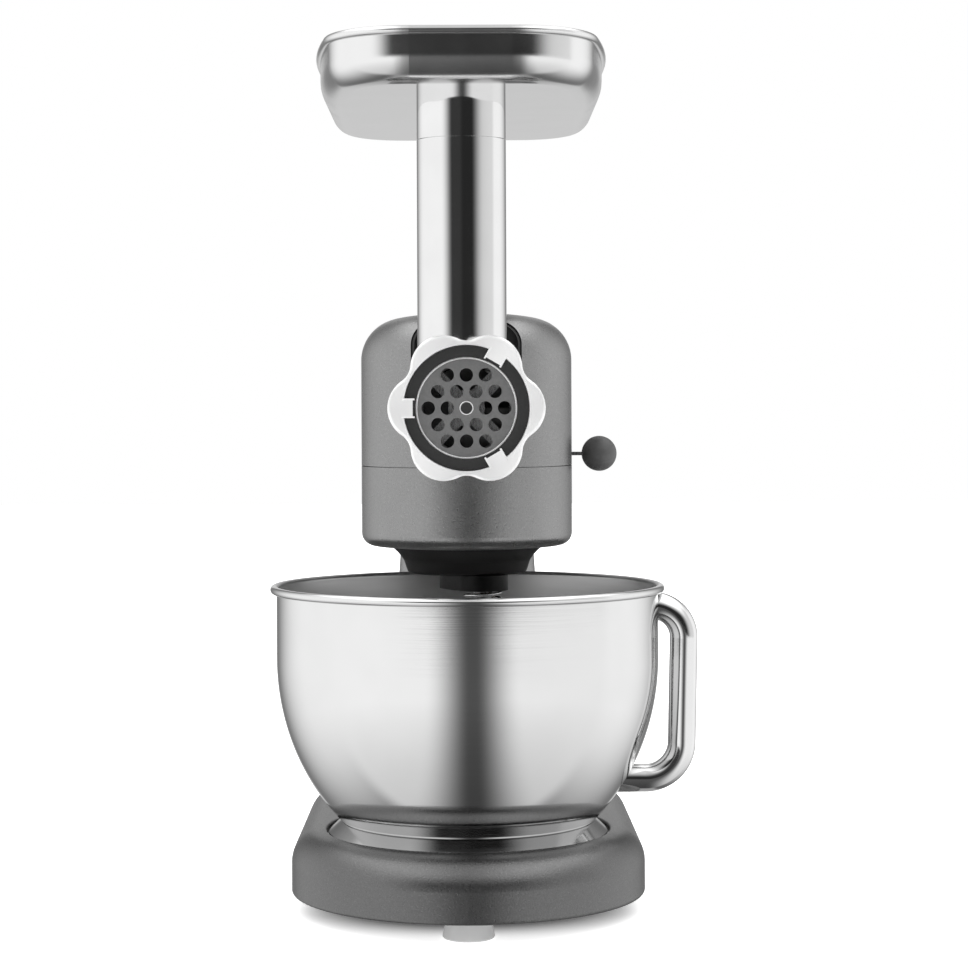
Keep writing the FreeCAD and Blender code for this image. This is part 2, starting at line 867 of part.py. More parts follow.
def bowl_foot_ring():
    """Flared ring under the bowl, with a fine groove where the two meet."""
    low = seat_z + body_gap
    inner = foot_ring_inner_r()
    groove_low = bowl_bottom - foot_ring_groove
    neck_r = foot_ring_r - foot_ring_wall / 2
    outline = [
        point(inner, 0, low),
        point(foot_ring_flare_r, 0, low),
        point(foot_ring_flare_r, 0, low + foot_ring_edge),
        point(neck_r, 0, groove_low),
        point(neck_r, 0, bowl_bottom),
        point(inner, 0, bowl_bottom),
    ]
    wall_face = Part.Face(Part.makePolygon(outline + [outline[0]]))
    wall = wall_face.revolve(point(0, 0, 0), Z_AXIS, 360)
    flange = upright_ring(inner + 0.5, foot_ring_flange_r, bowl_bottom - foot_ring_wall, bowl_bottom)
    pieces = [wall, flange]
    for middle in bayonet_angles():
        pieces.append(sector(inner + 0.5, inner - bayonet_tab_depth, bayonet_tab_low(),
                             bayonet_tab_low() + bayonet_tab_height, middle, bayonet_tab_angle))
    return joined(pieces)


def bowl_handle():
    lower_x = handle_leg_x - handle_leg_slant
    top_start = point(bowl_wall_r - 20, 0, handle_top_z)
    top_corner = point(handle_leg_x, 0, handle_top_z)
    low_corner = point(lower_x, 0, handle_bottom_z)
    low_end = point(bowl_curve_radius(handle_bottom_z, 0.0) - 20, 0, handle_bottom_z)
    route = [top_start, top_corner, low_corner, low_end]
    radii = [handle_top_bend_r, handle_bottom_bend_r]
    path = bent_path(route, radii)
    section = Part.Wire(Part.makeCircle(handle_tube_r, top_start, X_AXIS))
    tube = path.makePipeShell([section], True, False)
    return tube.cut(bowl_outside())


def bent_path(route, radii):
    """Wire of straight runs joined by tangent arcs of the given radii."""
    edges = []
    start = route[0]
    for i, radius in enumerate(radii):
        corner = route[i + 1]
        before = (corner - route[i]).normalize()
        after = (route[i + 2] - corner).normalize()
        turn = before.getAngle(after)
        reach = radius * math.tan(turn / 2)
        arc_in = corner - before * reach
        arc_out = corner + after * reach
        inward = (after - before).normalize()
        middle = corner + inward * (radius / math.cos(turn / 2) - radius)
        edges.append(Part.makeLine(start, arc_in))
        edges.append(Part.Arc(arc_in, middle, arc_out).toShape())
        start = arc_out
    edges.append(Part.makeLine(start, route[-1]))
    return Part.Wire(edges)


# Head


def head_block(inset):
    """Filled outer shape of the head, drawn in by an inset."""
    half = head_half_width - inset
    nose = Part.Ellipse(point(0, inset - nose_length, 0), point(half, 0, 0), point(0, 0, 0))
    tail_y = head_straight + tail_length - inset
    tail = Part.Ellipse(point(0, tail_y, 0), point(-half, head_straight, 0), point(0, head_straight, 0))
    edges = [
        Part.Arc(nose, -math.pi / 2, math.pi / 2).toShape(),
        Part.makeLine(point(half, 0, 0), point(half, head_straight, 0)),
        Part.Arc(tail, -math.pi / 2, math.pi / 2).toShape(),
        Part.makeLine(point(-half, head_straight, 0), point(-half, 0, 0)),
    ]
    low = head_bottom + inset
    high = head_top - inset
    whole = prism(edges, low, high)
    crown = along_y(head_crown_r - inset, -2 * nose_length, head_straight + 2 * tail_length, 0.0,
                    head_top - head_crown_r)
    whole = whole.common(crown)
    crown_drop = head_crown_r - math.sqrt(head_crown_r ** 2 - head_half_width ** 2)
    top_edges = edges_between(whole, high - crown_drop - 1, high + 1)
    whole = whole.makeFillet(head_top_r - inset, top_edges)
    return whole.makeFillet(head_bottom_r - inset, edges_between(whole, low - 0.1, low + 0.1))


def seam_ring(inset, wall, low, high):
    outer = head_block(inset)
    inner = head_block(inset + wall)
    keep = block(-head_half_width, head_half_width, -nose_length, head_straight + tail_length, low, high)
    return outer.cut(inner).common(keep)


def cover_screw_places():
    places = []
    for y in (cover_screw_front_y, cover_screw_rear_y):
        places.append((-cover_screw_x, y))
        places.append((cover_screw_x, y))
    return places


def board_post_places():
    x = board_half_width - board_post_inset
    near = board_front_y + board_post_inset
    far = board_front_y + board_length - board_post_inset
    return [(-x, near), (x, near), (-x, far), (x, far)]


def gearbox_post_places():
    places = []
    for y in (gearbox_post_front_y, gearbox_post_rear_y):
        places.append((-gearbox_post_x, y))
        places.append((gearbox_post_x, y))
    return places


def motor_post_places():
    places = []
    for angle in (45, 135, 225, 315):
        x = motor_post_circle_r * math.cos(math.radians(angle))
        y = motor_y + motor_post_circle_r * math.sin(math.radians(angle))
        places.append((x, y))
    return places


def head_lower_housing(outer, inner):
    keep = block(-head_half_width - 1, head_half_width + 1, -nose_length - 1, head_straight + tail_length + 1,
                 head_bottom - 1, seam_z - seam_gap / 2)
    shell = outer.cut(inner).common(keep)
    rebate = seam_ring(head_wall - 0.1, seam_lip_wall + 0.1, seam_z - seam_lip_depth, seam_z - seam_gap / 2)
    pieces = [shell, rebate]
    pieces.append(seam_ring(head_wall + seam_gap / 2, seam_lip_wall, seam_z - seam_lip_depth / 2,
                            seam_z + seam_lip_height))
    for x, y in cover_screw_places():
        pieces.append(upright(cover_boss_r, head_floor - 0.5, seam_z - seam_gap / 2, x, y))
    for x, y in gearbox_post_places():
        pieces.append(upright(gearbox_post_r, head_floor - 0.5, gearbox_plate_z, x, y))
    for x, y in motor_post_places():
        pieces.append(upright(motor_post_r, head_floor - 0.5, motor_can_bottom, x, y))
    for x, y in board_post_places():
        pieces.append(upright(board_post_r, head_floor - 0.5, board_z, x, y))
    neck = block(-tongue_half_width, tongue_half_width, hinge_y - tongue_r, hinge_y + tongue_r,
                 hinge_z, head_floor)
    knuckle = along_x(tongue_r, -tongue_half_width, tongue_half_width, hinge_y, hinge_z)
    housing = joined(pieces + [neck, knuckle])
    pin_room = along_x(hinge_pin_r + running_clearance, -head_half_width, head_half_width, hinge_y, hinge_z)
    housing = housing.cut(pin_room)
    housing = housing.cut(upright(carrier_r + carrier_clearance, head_bottom - 1, head_floor + 1))
    for x, y in cover_screw_places():
        housing = housing.cut(upright(cover_screw_r, head_bottom - 1, seam_z + 1, x, y))
        head_room = cover_screw_head_r + screw_clearance
        head_seat = head_bottom + cover_screw_head_height
        housing = housing.cut(upright(head_room, head_bottom - 1, head_seat, x, y))
    return housing


def port_prism(inset, near, far):
    """Rounded rectangular prism along Y for the power port."""
    width = port_half_width - inset
    middle = (port_bottom + port_top) / 2
    half = (port_top - port_bottom) / 2 - inset
    wire = rounded_rectangle(width, -half, half, port_corner_r - inset, 0.0)
    wire.rotate(point(0, 0, 0), X_AXIS, 90)
    wire.translate(point(0, near, middle))
    return Part.Face(wire).extrude(point(0, far - near, 0))


def lever_slot():
    reach = head_half_width - lever_pivot_x
    swing = math.radians(lever_swing)
    half = reach * math.tan(swing) + lever_width / 2 / math.cos(swing) + body_gap
    gap = lever_thickness / 2 + 2 * body_gap
    return block(head_half_width - 3 * head_wall, head_half_width + 1, lever_y - half, lever_y + half,
                 lever_z - gap, lever_z + gap)


def head_upper_cover(outer, inner):
    keep = block(-head_half_width - 1, head_half_width + 1, -nose_length - 1, head_straight + tail_length + 1,
                 seam_z + seam_gap / 2, head_top + 1)
    shell = outer.cut(inner).common(keep)
    boss_top = seam_z + cover_screw_grip + 4.0
    pieces = [shell]
    for x, y in cover_screw_places():
        boss = upright(cover_boss_r, seam_z + seam_gap / 2, boss_top, x, y)
        rib = block(min(x, x + math.copysign(10, x)), max(x, x + math.copysign(10, x)), y - 1.5, y + 1.5,
                    seam_z + seam_lip_height + 1, boss_top)
        pieces += [boss, rib.common(outer)]
    cover = joined(pieces)
    cover = cover.cut(port_prism(0.0, -nose_length - 1, port_floor_y + 10))
    cover = cover.cut(lever_slot())
    cover = cover.cut(seam_ring_room())
    for x, y in cover_screw_places():
        cover = cover.cut(upright(cover_screw_r, seam_z - 1, seam_z + cover_screw_grip, x, y))
    return cover


def seam_ring_room():
    """Space for the lip of the lower housing where the bosses of the cover would meet it."""
    return seam_ring(head_wall, seam_lip_wall + seam_gap, seam_z, seam_z + seam_lip_height + seam_gap)


def cover_screws():
    seat = head_bottom + cover_screw_head_height
    length = seam_z + cover_screw_grip - seat
    screws = []
    for x, y in cover_screw_places():
        place = point(x, y, seat)
        screws.append(screw(cover_screw_r, length, cover_screw_head_r, cover_screw_head_height, place, True))
    return Part.Compound(screws)


def port_liner():
    body = port_prism(liner_clearance, -nose_length, port_floor_y + liner_wall)
    body = body.common(head_block(liner_setback))
    hollow = port_prism(liner_clearance + liner_wall, -nose_length - 1, port_floor_y)
    body = body.cut(hollow)
    return body.cut(along_y(hub_r, port_floor_y - 1, port_floor_y + liner_wall + 1))


def hub_housing():
    flange_front = port_floor_y + liner_wall
    sleeve = along_y(hub_r, hub_front_y, hub_rear_y)
    flange = along_y(hub_flange_r, flange_front, flange_front + hub_flange_thickness)
    body = joined([sleeve, flange])
    body = body.cut(along_y(hub_bore_r, hub_front_y - 1, hub_shoulder_y))
    return body.cut(along_y(hub_bush_r, hub_shoulder_y - 1, hub_rear_y + 1))


def hub_bush():
    return ring_along_y(hub_bush_r, hub_shaft_r + running_clearance, hub_shoulder_y, hub_rear_y)


def hub_shaft():
    journal = along_y(hub_shaft_r, hub_shaft_front_y, hub_rear_y)
    neck = along_y(hub_shaft_neck_r, hub_rear_y, hub_shaft_gear_y)
    half = square_drive / 2 + 2 * sliding_clearance
    socket = block(-half, half, hub_shaft_front_y - 1, hub_shaft_front_y + square_socket_depth,
                   hub_axis_z - half, hub_axis_z + half)
    return joined([journal, neck]).cut(socket)


def hub_bevel_gear():
    gear = bevel_gear(hub_shaft_neck_r, 180.0 / bevel_teeth)
    gear.rotate(point(0, 0, 0), X_AXIS, 90)
    gear.translate(point(0, 0, hub_axis_z))
    return gear


# Planetary drive


def planetary_skirt():
    top = head_bottom
    waist_z = top - skirt_drop * 0.55
    flare_r = skirt_waist_r + (skirt_top_r - skirt_waist_r) * 0.45
    flare_z = top - skirt_drop * 0.24
    inner = skirt_bottom_r - skirt_wall
    edges = [
        Part.Arc(point(skirt_top_r, 0, top), point(flare_r, 0, flare_z),
                 point(skirt_waist_r, 0, waist_z)).toShape(),
        Part.makeLine(point(skirt_waist_r, 0, waist_z), point(skirt_bottom_r, 0, skirt_bottom)),
        Part.makeLine(point(skirt_bottom_r, 0, skirt_bottom), point(inner, 0, skirt_bottom)),
        Part.makeLine(point(inner, 0, skirt_bottom), point(inner, 0, top)),
        Part.makeLine(point(inner, 0, top), point(skirt_top_r, 0, top)),
    ]
    skirt = Part.Face(Part.Wire(Part.__sortEdges__(edges))).revolve(point(0, 0, 0), Z_AXIS, 360)
    lower_edges = []
    for edge in edges_between(skirt, skirt_bottom - 0.1, skirt_bottom + 0.1):
        if edge.BoundBox.XMax > inner + 0.5:
            lower_edges.append(edge)
    return skirt.makeFillet(skirt_edge_r, lower_edges)


def ring_gear():
    low = head_floor
    high = low + ring_gear_height
    toothed = prism(gear_outline(ring_teeth, 1.25 * gear_module, gear_module, -backlash, orbit_phase - 90.0),
                    low - 1, high + 1)
    return upright(ring_gear_r, low, high).cut(toothed)


def planetary_carrier():
    disc = upright(carrier_r, skirt_bottom - body_gap, carrier_top)
    nose = prism(hull_edges(carrier_hub_r, 0.0, carrier_boss_r, beater_y, 0.0, beater_x),
                 carrier_bottom, skirt_bottom - body_gap)
    carrier = joined([disc, nose])
    carrier = carrier.cut(upright(planetary_shaft_r, carrier_bottom + 3, carrier_top + 1))
    carrier = carrier.cut(upright(beater_bush_r, carrier_bottom - 1, carrier_bottom + beater_bush_length,
                                  beater_x, beater_y))
    carrier = carrier.cut(upright(beater_bush_r, carrier_top - beater_bush_length, carrier_top + 1,
                                  beater_x, beater_y))
    return carrier.cut(upright(beater_shaft_r + 1, carrier_bottom - 1, carrier_top + 1, beater_x, beater_y))


def beater_bushes():
    inner = beater_shaft_r + running_clearance
    lower = upright_ring(beater_bush_r, inner, carrier_bottom, carrier_bottom + beater_bush_length,
                         beater_x, beater_y)
    upper = upright_ring(beater_bush_r, inner, carrier_top - beater_bush_length, carrier_top,
                         beater_x, beater_y)
    return Part.Compound([lower, upper])


def planet_pinion_low():
    return head_floor + body_gap


def planet_pinion():
    gear = spur_gear(pinion_teeth, planet_pinion_low(), head_floor + ring_gear_height, beater_shaft_r,
                     orbit_phase - 90.0)
    gear.translate(point(beater_x, beater_y, 0))
    return gear


def beater_pin_z():
    return beater_shaft_bottom + beater_pin_rise


def beater_shaft():
    shaft = upright(beater_shaft_r, beater_shaft_bottom, head_floor + ring_gear_height, beater_x, beater_y)
    shaft = shaft.makeChamfer(1.0, edges_between(shaft, beater_shaft_bottom - 0.1, beater_shaft_bottom + 0.1))
    hole = along_x(beater_pin_r, beater_x - 2 * beater_shaft_r, beater_x + 2 * beater_shaft_r,
                   beater_y, beater_pin_z())
    return shaft.cut(hole)


def beater_pin():
    half = beater_pin_length / 2
    return along_x(beater_pin_r, beater_x - half, beater_x + half, beater_y, beater_pin_z())


def arc_from_tangent(start, tangent, end):
    chord = end - start
    across = chord - tangent * chord.dot(tangent)
    normal = across.normalize()
    radius = chord.dot(chord) / (2 * chord.dot(normal))
    center = start + normal * radius
    middle = center + ((start + end) * 0.5 - center).normalize() * radius
    return Part.Arc(start, middle, end).toShape()


def helix_point(turn, low):
    angle = 2 * math.pi * turn
    return point(beater_x + spring_mean_r * math.cos(angle), beater_y + spring_mean_r * math.sin(angle),
                 low + spring_pitch * turn)


def helix_tangent(turn):
    angle = 2 * math.pi * turn
    climb = spring_pitch / (2 * math.pi * spring_mean_r)
    return point(-math.sin(angle), math.cos(angle), climb).normalize()


def beater_spring():
    """Coil spring as one tube on biarcs of a quarter turn."""
    low = carrier_bottom - body_gap - spring_wire_r - spring_pitch * spring_turns
    edges = []
    steps = 4 * spring_turns
    for i in range(steps):
        start = helix_point(i / 4, low)
        end = helix_point((i + 1) / 4, low)
        t0 = helix_tangent(i / 4)
        t1 = helix_tangent((i + 1) / 4)
        chord = end - start
        both = t0 + t1
        bend = 2 * (1 - t0.dot(t1))
        lean = chord.dot(both)
        reach = (-lean + math.sqrt(lean * lean + bend * chord.dot(chord))) / bend
        middle = (start + t0 * reach + end - t1 * reach) * 0.5
        edges.append(arc_from_tangent(start, t0, middle))
        heading = ((end - t1 * reach) - middle).normalize()
        edges.append(arc_from_tangent(middle, heading, end))
    path = Part.Wire(edges)
    section = Part.Wire(Part.makeCircle(spring_wire_r, helix_point(0, low), helix_tangent(0)))
    spring = path.makePipeShell([section], True, False)
    report_coil_gap(low)
    return spring


def report_coil_gap(low):
    samples = [helix_point(i / 24, low) for i in range(24 * spring_turns + 1)]
    least = spring_pitch
    for i, first in enumerate(samples):
        for second in samples[i + 16:]:
            least = min(least, first.distanceToPoint(second))
    print("beater_spring least gap to itself", round(least - 2 * spring_wire_r, 2), "mm")


def planetary_shaft():
    return upright(planetary_shaft_r, carrier_bottom + 3, drive_bevel_top())


def drive_bevel_top():
    pitch_r = bevel_module * bevel_teeth / 2
    return hub_axis_z - 0.75 * pitch_r


def drive_bevel_back():
    pitch_r = bevel_module * bevel_teeth / 2
    return hub_axis_z - (pitch_r + 1.25 * bevel_module / math.sqrt(2) + bevel_back)


def planetary_bearing():
    middle = gearbox_plate_z + gearbox_plate_thickness / 2
    return upright_ring(planetary_bearing_r, planetary_shaft_r + running_clearance,
                        middle - bearing_width / 2, middle + bearing_width / 2)


def main_gear():
    gear = spur_gear(main_teeth, main_gear_z, main_gear_z + main_gear_width, planetary_shaft_r, 90.0)
    hub = upright_ring(main_gear_hub_r, planetary_shaft_r, main_gear_z, drive_bevel_back())
    return joined([gear, hub])


def drive_bevel_gear():
    gear = bevel_gear(planetary_shaft_r, 90.0)
    gear.rotate(point(0, 0, 0), X_AXIS, 180)
    gear.translate(point(0, 0, hub_axis_z))
    return gear


# Gear train


def gearbox_plate():
    plate = block(-gearbox_plate_half_width, gearbox_plate_half_width,
                  gearbox_plate_front_y, gearbox_plate_rear_y, gearbox_plate_z, gearbox_plate_top)
    plate = plate.makeFillet(8.0, upright_edges(plate))
    plate = plate.cut(upright(planetary_bearing_r, gearbox_plate_z - 1, gearbox_plate_top + 1))
    return plate.cut(upright(layshaft_bearing_r, gearbox_plate_z - 1, gearbox_plate_top + 1, 0.0, layshaft_y))


def gear_bridge():
    front = layshaft_y - bridge_length / 2
    rear = layshaft_y + bridge_length / 2
    top = bridge_plate_z + bridge_plate_thickness
    whole = block(-bridge_half_width, bridge_half_width, front, rear, gearbox_plate_top, top)
    span = bridge_half_width - bridge_leg
    whole = whole.cut(block(-span, span, front - 1, rear + 1, gearbox_plate_top - 1, bridge_plate_z))
    return whole.cut(upright(layshaft_bearing_r, bridge_plate_z - 1, top + 1, 0.0, layshaft_y))


def layshaft_bearings():
    rings = []
    middles = [gearbox_plate_z + gearbox_plate_thickness / 2, bridge_plate_z + bridge_plate_thickness / 2]
    for middle in middles:
        low = middle - bearing_width / 2
        high = middle + bearing_width / 2
        rings.append(upright_ring(layshaft_bearing_r, layshaft_r + running_clearance, low, high, 0.0, layshaft_y))
    return Part.Compound(rings)


def layshaft():
    return upright(layshaft_r, gearbox_plate_z, shaft_top, 0.0, layshaft_y)


def layshaft_pinion():
    gear = spur_gear(pinion_teeth, main_gear_z, main_gear_z + main_gear_width, layshaft_r,
                     270.0 + 180.0 / pinion_teeth)
    gear.translate(point(0, layshaft_y, 0))
    return gear


def driven_pulley():
    rim = upright_ring(driven_pulley_r, driven_pulley_r - driven_pulley_rim, pulley_z, pulley_top,
                       0.0, layshaft_y)
    middle = (pulley_z + pulley_top) / 2
    web = upright(driven_pulley_r - driven_pulley_rim + 0.5, middle - driven_pulley_web / 2,
                  middle + driven_pulley_web / 2, 0.0, layshaft_y)
    hub = upright(driven_pulley_hub_r, pulley_z, pulley_top, 0.0, layshaft_y)
    return joined([rim, web, hub]).cut(upright(layshaft_r, pulley_z - 1, pulley_top + 1, 0.0, layshaft_y))


def drive_belt():
    low = pulley_z + belt_margin
    high = pulley_top - belt_margin
    driven = driven_pulley_r + body_gap
    driver = motor_pulley_r + body_gap
    outer = prism(hull_edges(driven + belt_thickness, layshaft_y, driver + belt_thickness, motor_y),
                  low, high)
    return outer.cut(prism(hull_edges(driven, layshaft_y, driver, motor_y), low - 1, high + 1))


# Motor


def motor_can():
    inner_r = motor_can_r - motor_can_wall
    can = upright(motor_can_r, motor_can_bottom, motor_can_top, 0.0, motor_y)
    can = can.cut(upright(inner_r, motor_can_bottom + motor_can_end, motor_can_top - motor_can_end,
                          0.0, motor_y))
    return can.cut(upright(motor_bearing_r, motor_can_bottom - 1, motor_can_top + 1, 0.0, motor_y))


def motor_stator():
    return upright_ring(motor_can_r - motor_can_wall, stator_bore_r, core_z, core_z + core_height,
                        0.0, motor_y)


def rotor_core():
    return upright_ring(stator_bore_r - air_gap, motor_shaft_r, core_z, core_z + core_height, 0.0, motor_y)


def motor_shaft():
    return upright(motor_shaft_r, motor_can_bottom, shaft_top, 0.0, motor_y)


def motor_bearings():
    rings = []
    for low in (motor_can_bottom, motor_can_top - motor_bearing_width):
        rings.append(upright_ring(motor_bearing_r, motor_shaft_r + running_clearance, low,
                                  low + motor_bearing_width, 0.0, motor_y))
    return Part.Compound(rings)


def motor_fan():
    low = motor_can_top + fan_rise
    plate_top = low + fan_plate
    pieces = [upright(fan_r, low, plate_top, 0.0, motor_y)]
    pieces.append(upright(2 * motor_shaft_r, low, plate_top + fan_blade_height, 0.0, motor_y))
    for i in range(fan_blades):
        blade = block(2.5 * motor_shaft_r, fan_r - 1, -fan_blade_thickness / 2, fan_blade_thickness / 2,
                      plate_top - 0.3, plate_top + fan_blade_height)
        blade.rotate(point(0, 0, 0), Z_AXIS, 360.0 * i / fan_blades)
        blade.translate(point(0, motor_y, 0))
        pieces.append(blade)
    return joined(pieces).cut(upright(motor_shaft_r, low - 1, pulley_z, 0.0, motor_y))


def motor_pulley():
    return upright_ring(motor_pulley_r, motor_shaft_r, pulley_z, pulley_top, 0.0, motor_y)


# Speed control


def speed_switch():
    inner_wall = head_half_width - head_wall - seam_lip_wall - seam_gap
    top = lever_z - lever_thickness / 2 - 2 * body_gap
    box = block(lever_pivot_x - switch_overhang, inner_wall, lever_y - switch_length / 2,
                lever_y + switch_length / 2, top - switch_height, top)
    pin = upright(lever_pin_r, top - 1, lever_z + lever_thickness / 2 + 1, lever_pivot_x, lever_y)
    return joined([box, pin])


def speed_lever_arm():
    low = lever_z - lever_thickness / 2
    high = lever_z + lever_thickness / 2
    eye = upright(lever_eye_r, low, high, lever_pivot_x, lever_y)
    bar = block(lever_pivot_x, knob_x - knob_r + knob_seat_depth,
                lever_y - lever_width / 2, lever_y + lever_width / 2, low, high)
    pin_room = upright(lever_pin_r + running_clearance, low - 1, high + 1, lever_pivot_x, lever_y)
    return joined([eye, bar]).cut(pin_room)


def speed_knob():
    ball = Part.makeSphere(knob_r, point(knob_x, lever_y, lever_z))
    return ball.cut(speed_lever_arm())


def control_board():
    board = block(-board_half_width, board_half_width, board_front_y, board_front_y + board_length,
                  board_z, board_z + board_thickness)
    top = board_z + board_thickness - 0.1
    choke = upright(9.0, top, top + 16, -14.0, board_front_y + board_length / 2)
    heat_sink = block(8, 26, board_front_y + 10, board_front_y + 32, top, top + 18)
    return joined([board, choke, heat_sink])


# Grinder


def grinder_body():
    spigot = along_y(hub_bore_r - sliding_clearance, barrel_rear_y, barrel_rear_y + spigot_length)
    neck = along_y(barrel_neck_r, barrel_rear_y - barrel_neck_length, barrel_rear_y)
    barrel = along_y(barrel_r, barrel_front_y, barrel_rear_y - barrel_neck_length)
    thread = along_y(thread_r, barrel_front_y, barrel_front_y + thread_length)
    tube = upright(tube_r, hub_axis_z, tube_top, tube_x, tube_y)
    body = joined([spigot, neck, barrel, thread, tube])
    body = body.cut(along_y(spigot_bore_r, chamber_rear_y - 1, barrel_rear_y + spigot_length + 1))
    body = body.cut(along_y(chamber_r, mouth_y - 1, chamber_rear_y))
    body = body.cut(along_y(plate_r + plate_clearance, barrel_front_y - 1, mouth_y))
    return body.cut(upright(tube_bore_r, hub_axis_z, tube_top + 1, tube_x, tube_y))


def auger_bush():
    return ring_along_y(spigot_bore_r, auger_core_r + running_clearance, chamber_rear_y, barrel_rear_y)


def plate_hole_places():
    places = []
    rows = len(plate_rows)
    for row, count in enumerate(plate_rows):
        z = (row - (rows - 1) / 2) * plate_hole_pitch * math.sqrt(0.75)
        for i in range(count):
            x = (i - (count - 1) / 2) * plate_hole_pitch
            if math.hypot(x, z) > 1:
                places.append((x, z))
    return places


def grinding_plate():
    plate = along_y(plate_r, plate_front_y, plate_rear_y)
    holes = []
    for x, z in plate_hole_places():
        holes.append(along_y(plate_hole_r, plate_front_y - 1, plate_rear_y + 1, x, hub_axis_z + z))
    holes.append(along_y(auger_stud_r + running_clearance, plate_front_y - 1, plate_rear_y + 1))
    return plate.cut(Part.Compound(holes))


def clamp_ring():
    return ring_along_y(nut_opening_r - body_gap, clamp_ring_bore_r, clamp_front_y, plate_front_y)


def feed_auger():
    flight_r = chamber_r - auger_clearance
    core_front = knife_rear_y + body_gap
    flight_start = core_front + auger_flight_thickness
    flight_end = chamber_rear_y - body_gap - auger_flight_thickness
    length = flight_end - flight_start
    helix = Part.makeHelix(auger_pitch, length, flight_r)
    half = auger_flight_thickness / 2
    profile = Part.makePolygon([
        point(auger_core_r - 1, 0, -half), point(flight_r, 0, -half),
        point(flight_r, 0, half), point(auger_core_r - 1, 0, half), point(auger_core_r - 1, 0, -half),
    ])
    flight = Part.Wire(helix).makePipeShell([profile], True, True)
    flight.rotate(point(0, 0, 0), X_AXIS, -90)
    flight.translate(point(0, flight_start, hub_axis_z))
    journal_end = barrel_rear_y + auger_journal_length
    core = along_y(auger_core_r, core_front, journal_end)
    half_drive = square_drive / 2
    tail = block(-half_drive, half_drive, journal_end - 1, journal_end + auger_tail_length,
                 hub_axis_z - half_drive, hub_axis_z + half_drive)
    half_knife = knife_square / 2
    seat = block(-half_knife, half_knife, knife_front_y, core_front + 1,
                 hub_axis_z - half_knife, hub_axis_z + half_knife)
    stud = along_y(auger_stud_r, plate_front_y, knife_front_y + 1)
    return joined([core, tail, seat, stud, flight])


def cutting_knife():
    hub = along_y(knife_hub_r, knife_front_y, knife_rear_y)
    pieces = [hub]
    half = knife_arm_width / 2
    for i in range(knife_arms):
        arm_corners = [
            point(0, knife_front_y, -half), point(knife_arm_r, knife_front_y, -half),
            point(knife_arm_r, knife_front_y, half), point(0, knife_front_y, half),
        ]
        arm = Part.Face(Part.makePolygon(arm_corners + [arm_corners[0]])).extrude(Y_AXIS * knife_thickness)
        arm.rotate(point(0, 0, 0), Y_AXIS, 45 + 360.0 * i / knife_arms)
        arm.translate(point(0, 0, hub_axis_z))
        pieces.append(arm.common(along_y(knife_arm_r, knife_front_y, knife_rear_y)))
    half_hole = knife_square / 2
    hole = block(-half_hole, half_hole, knife_front_y - 1, knife_rear_y + 1, hub_axis_z - half_hole,
                 hub_axis_z + half_hole)
    return joined(pieces).cut(hole)


def nut_outline():
    """Lobed outline of the ring nut about the origin: convex lobes joined by concave valleys."""
    lobe_center = nut_lobe_r - nut_lobe_round_r
    half_step = math.pi / nut_lobes
    spread = 2 * lobe_center * math.cos(half_step)
    gain = nut_valley_r ** 2 + lobe_center ** 2 - spread * nut_valley_r - nut_lobe_round_r ** 2
    valley_round_r = gain / (2 * nut_lobe_round_r - 2 * nut_valley_r + spread)
    valley_center = nut_valley_r + valley_round_r

    def polar(radius, angle):
        return point(radius * math.cos(angle), radius * math.sin(angle), 0)

    edges = []
    for i in range(nut_lobes):
        middle = 2 * half_step * i
        lobe = polar(lobe_center, middle)
        before = polar(valley_center, middle - half_step)
        after = polar(valley_center, middle + half_step)
        start = lobe + (before - lobe).normalize() * nut_lobe_round_r
        end = lobe + (after - lobe).normalize() * nut_lobe_round_r
        edges.append(Part.Arc(start, polar(nut_lobe_r, middle), end).toShape())
        following = polar(lobe_center, middle + 2 * half_step)
        valley_end = following + (after - following).normalize() * nut_lobe_round_r
        edges.append(Part.Arc(end, polar(nut_valley_r, middle + half_step), valley_end).toShape())
    return edges


def ring_nut():
    body = prism(nut_outline(), 0.0, nut_length)
    end_edges = edges_between(body, -0.1, 0.1) + edges_between(body, nut_length - 0.1, nut_length + 0.1)
    body = body.makeFillet(nut_edge_r, end_edges)
    body.rotate(point(0, 0, 0), X_AXIS, 90)
    body.translate(point(0, nut_rear_y, hub_axis_z))
    thread_end = barrel_front_y - body_gap
    body = body.cut(along_y(thread_r + body_gap, thread_end, nut_rear_y + 1))
    body = body.cut(along_y(nut_opening_r, nut_front_y - 1, thread_end))
    pieces = [body]
    for angle in nut_tab_angles:
        tab = block(nut_tab_reach_r, nut_opening_r + 1, nut_front_y, clamp_front_y - body_gap,
                    -nut_tab_width / 2, nut_tab_width / 2)
        tab.rotate(point(0, 0, 0), Y_AXIS, -angle)
        tab.translate(point(0, 0, hub_axis_z))
        pieces.append(tab)
    return joined(pieces)


# Tray


def tray_outline(inset):
    """Sides that draw in towards the front end and run straight to the rear, corners not yet rounded."""
    front = tray_front_y + inset
    rear = tray_rear_y - inset
    half = tray_half_width - inset
    bow = tray_bow_r - inset
    middle = (front + rear) / 2
    reach = middle - front
    corner = half - bow + math.sqrt(bow ** 2 - reach ** 2)
    between = half - bow + math.sqrt(bow ** 2 - (reach / 2) ** 2)
    edges = []
    for side in (-1, 1):
        start = point(side * corner, front, 0)
        widest = point(side * half, middle, 0)
        edges.append(Part.Arc(start, point(side * between, front + reach / 2, 0), widest).toShape())
        edges.append(Part.makeLine(widest, point(side * half, rear, 0)))
    edges.append(Part.makeLine(point(-corner, front, 0), point(corner, front, 0)))
    edges.append(Part.makeLine(point(half, rear, 0), point(-half, rear, 0)))
    return edges


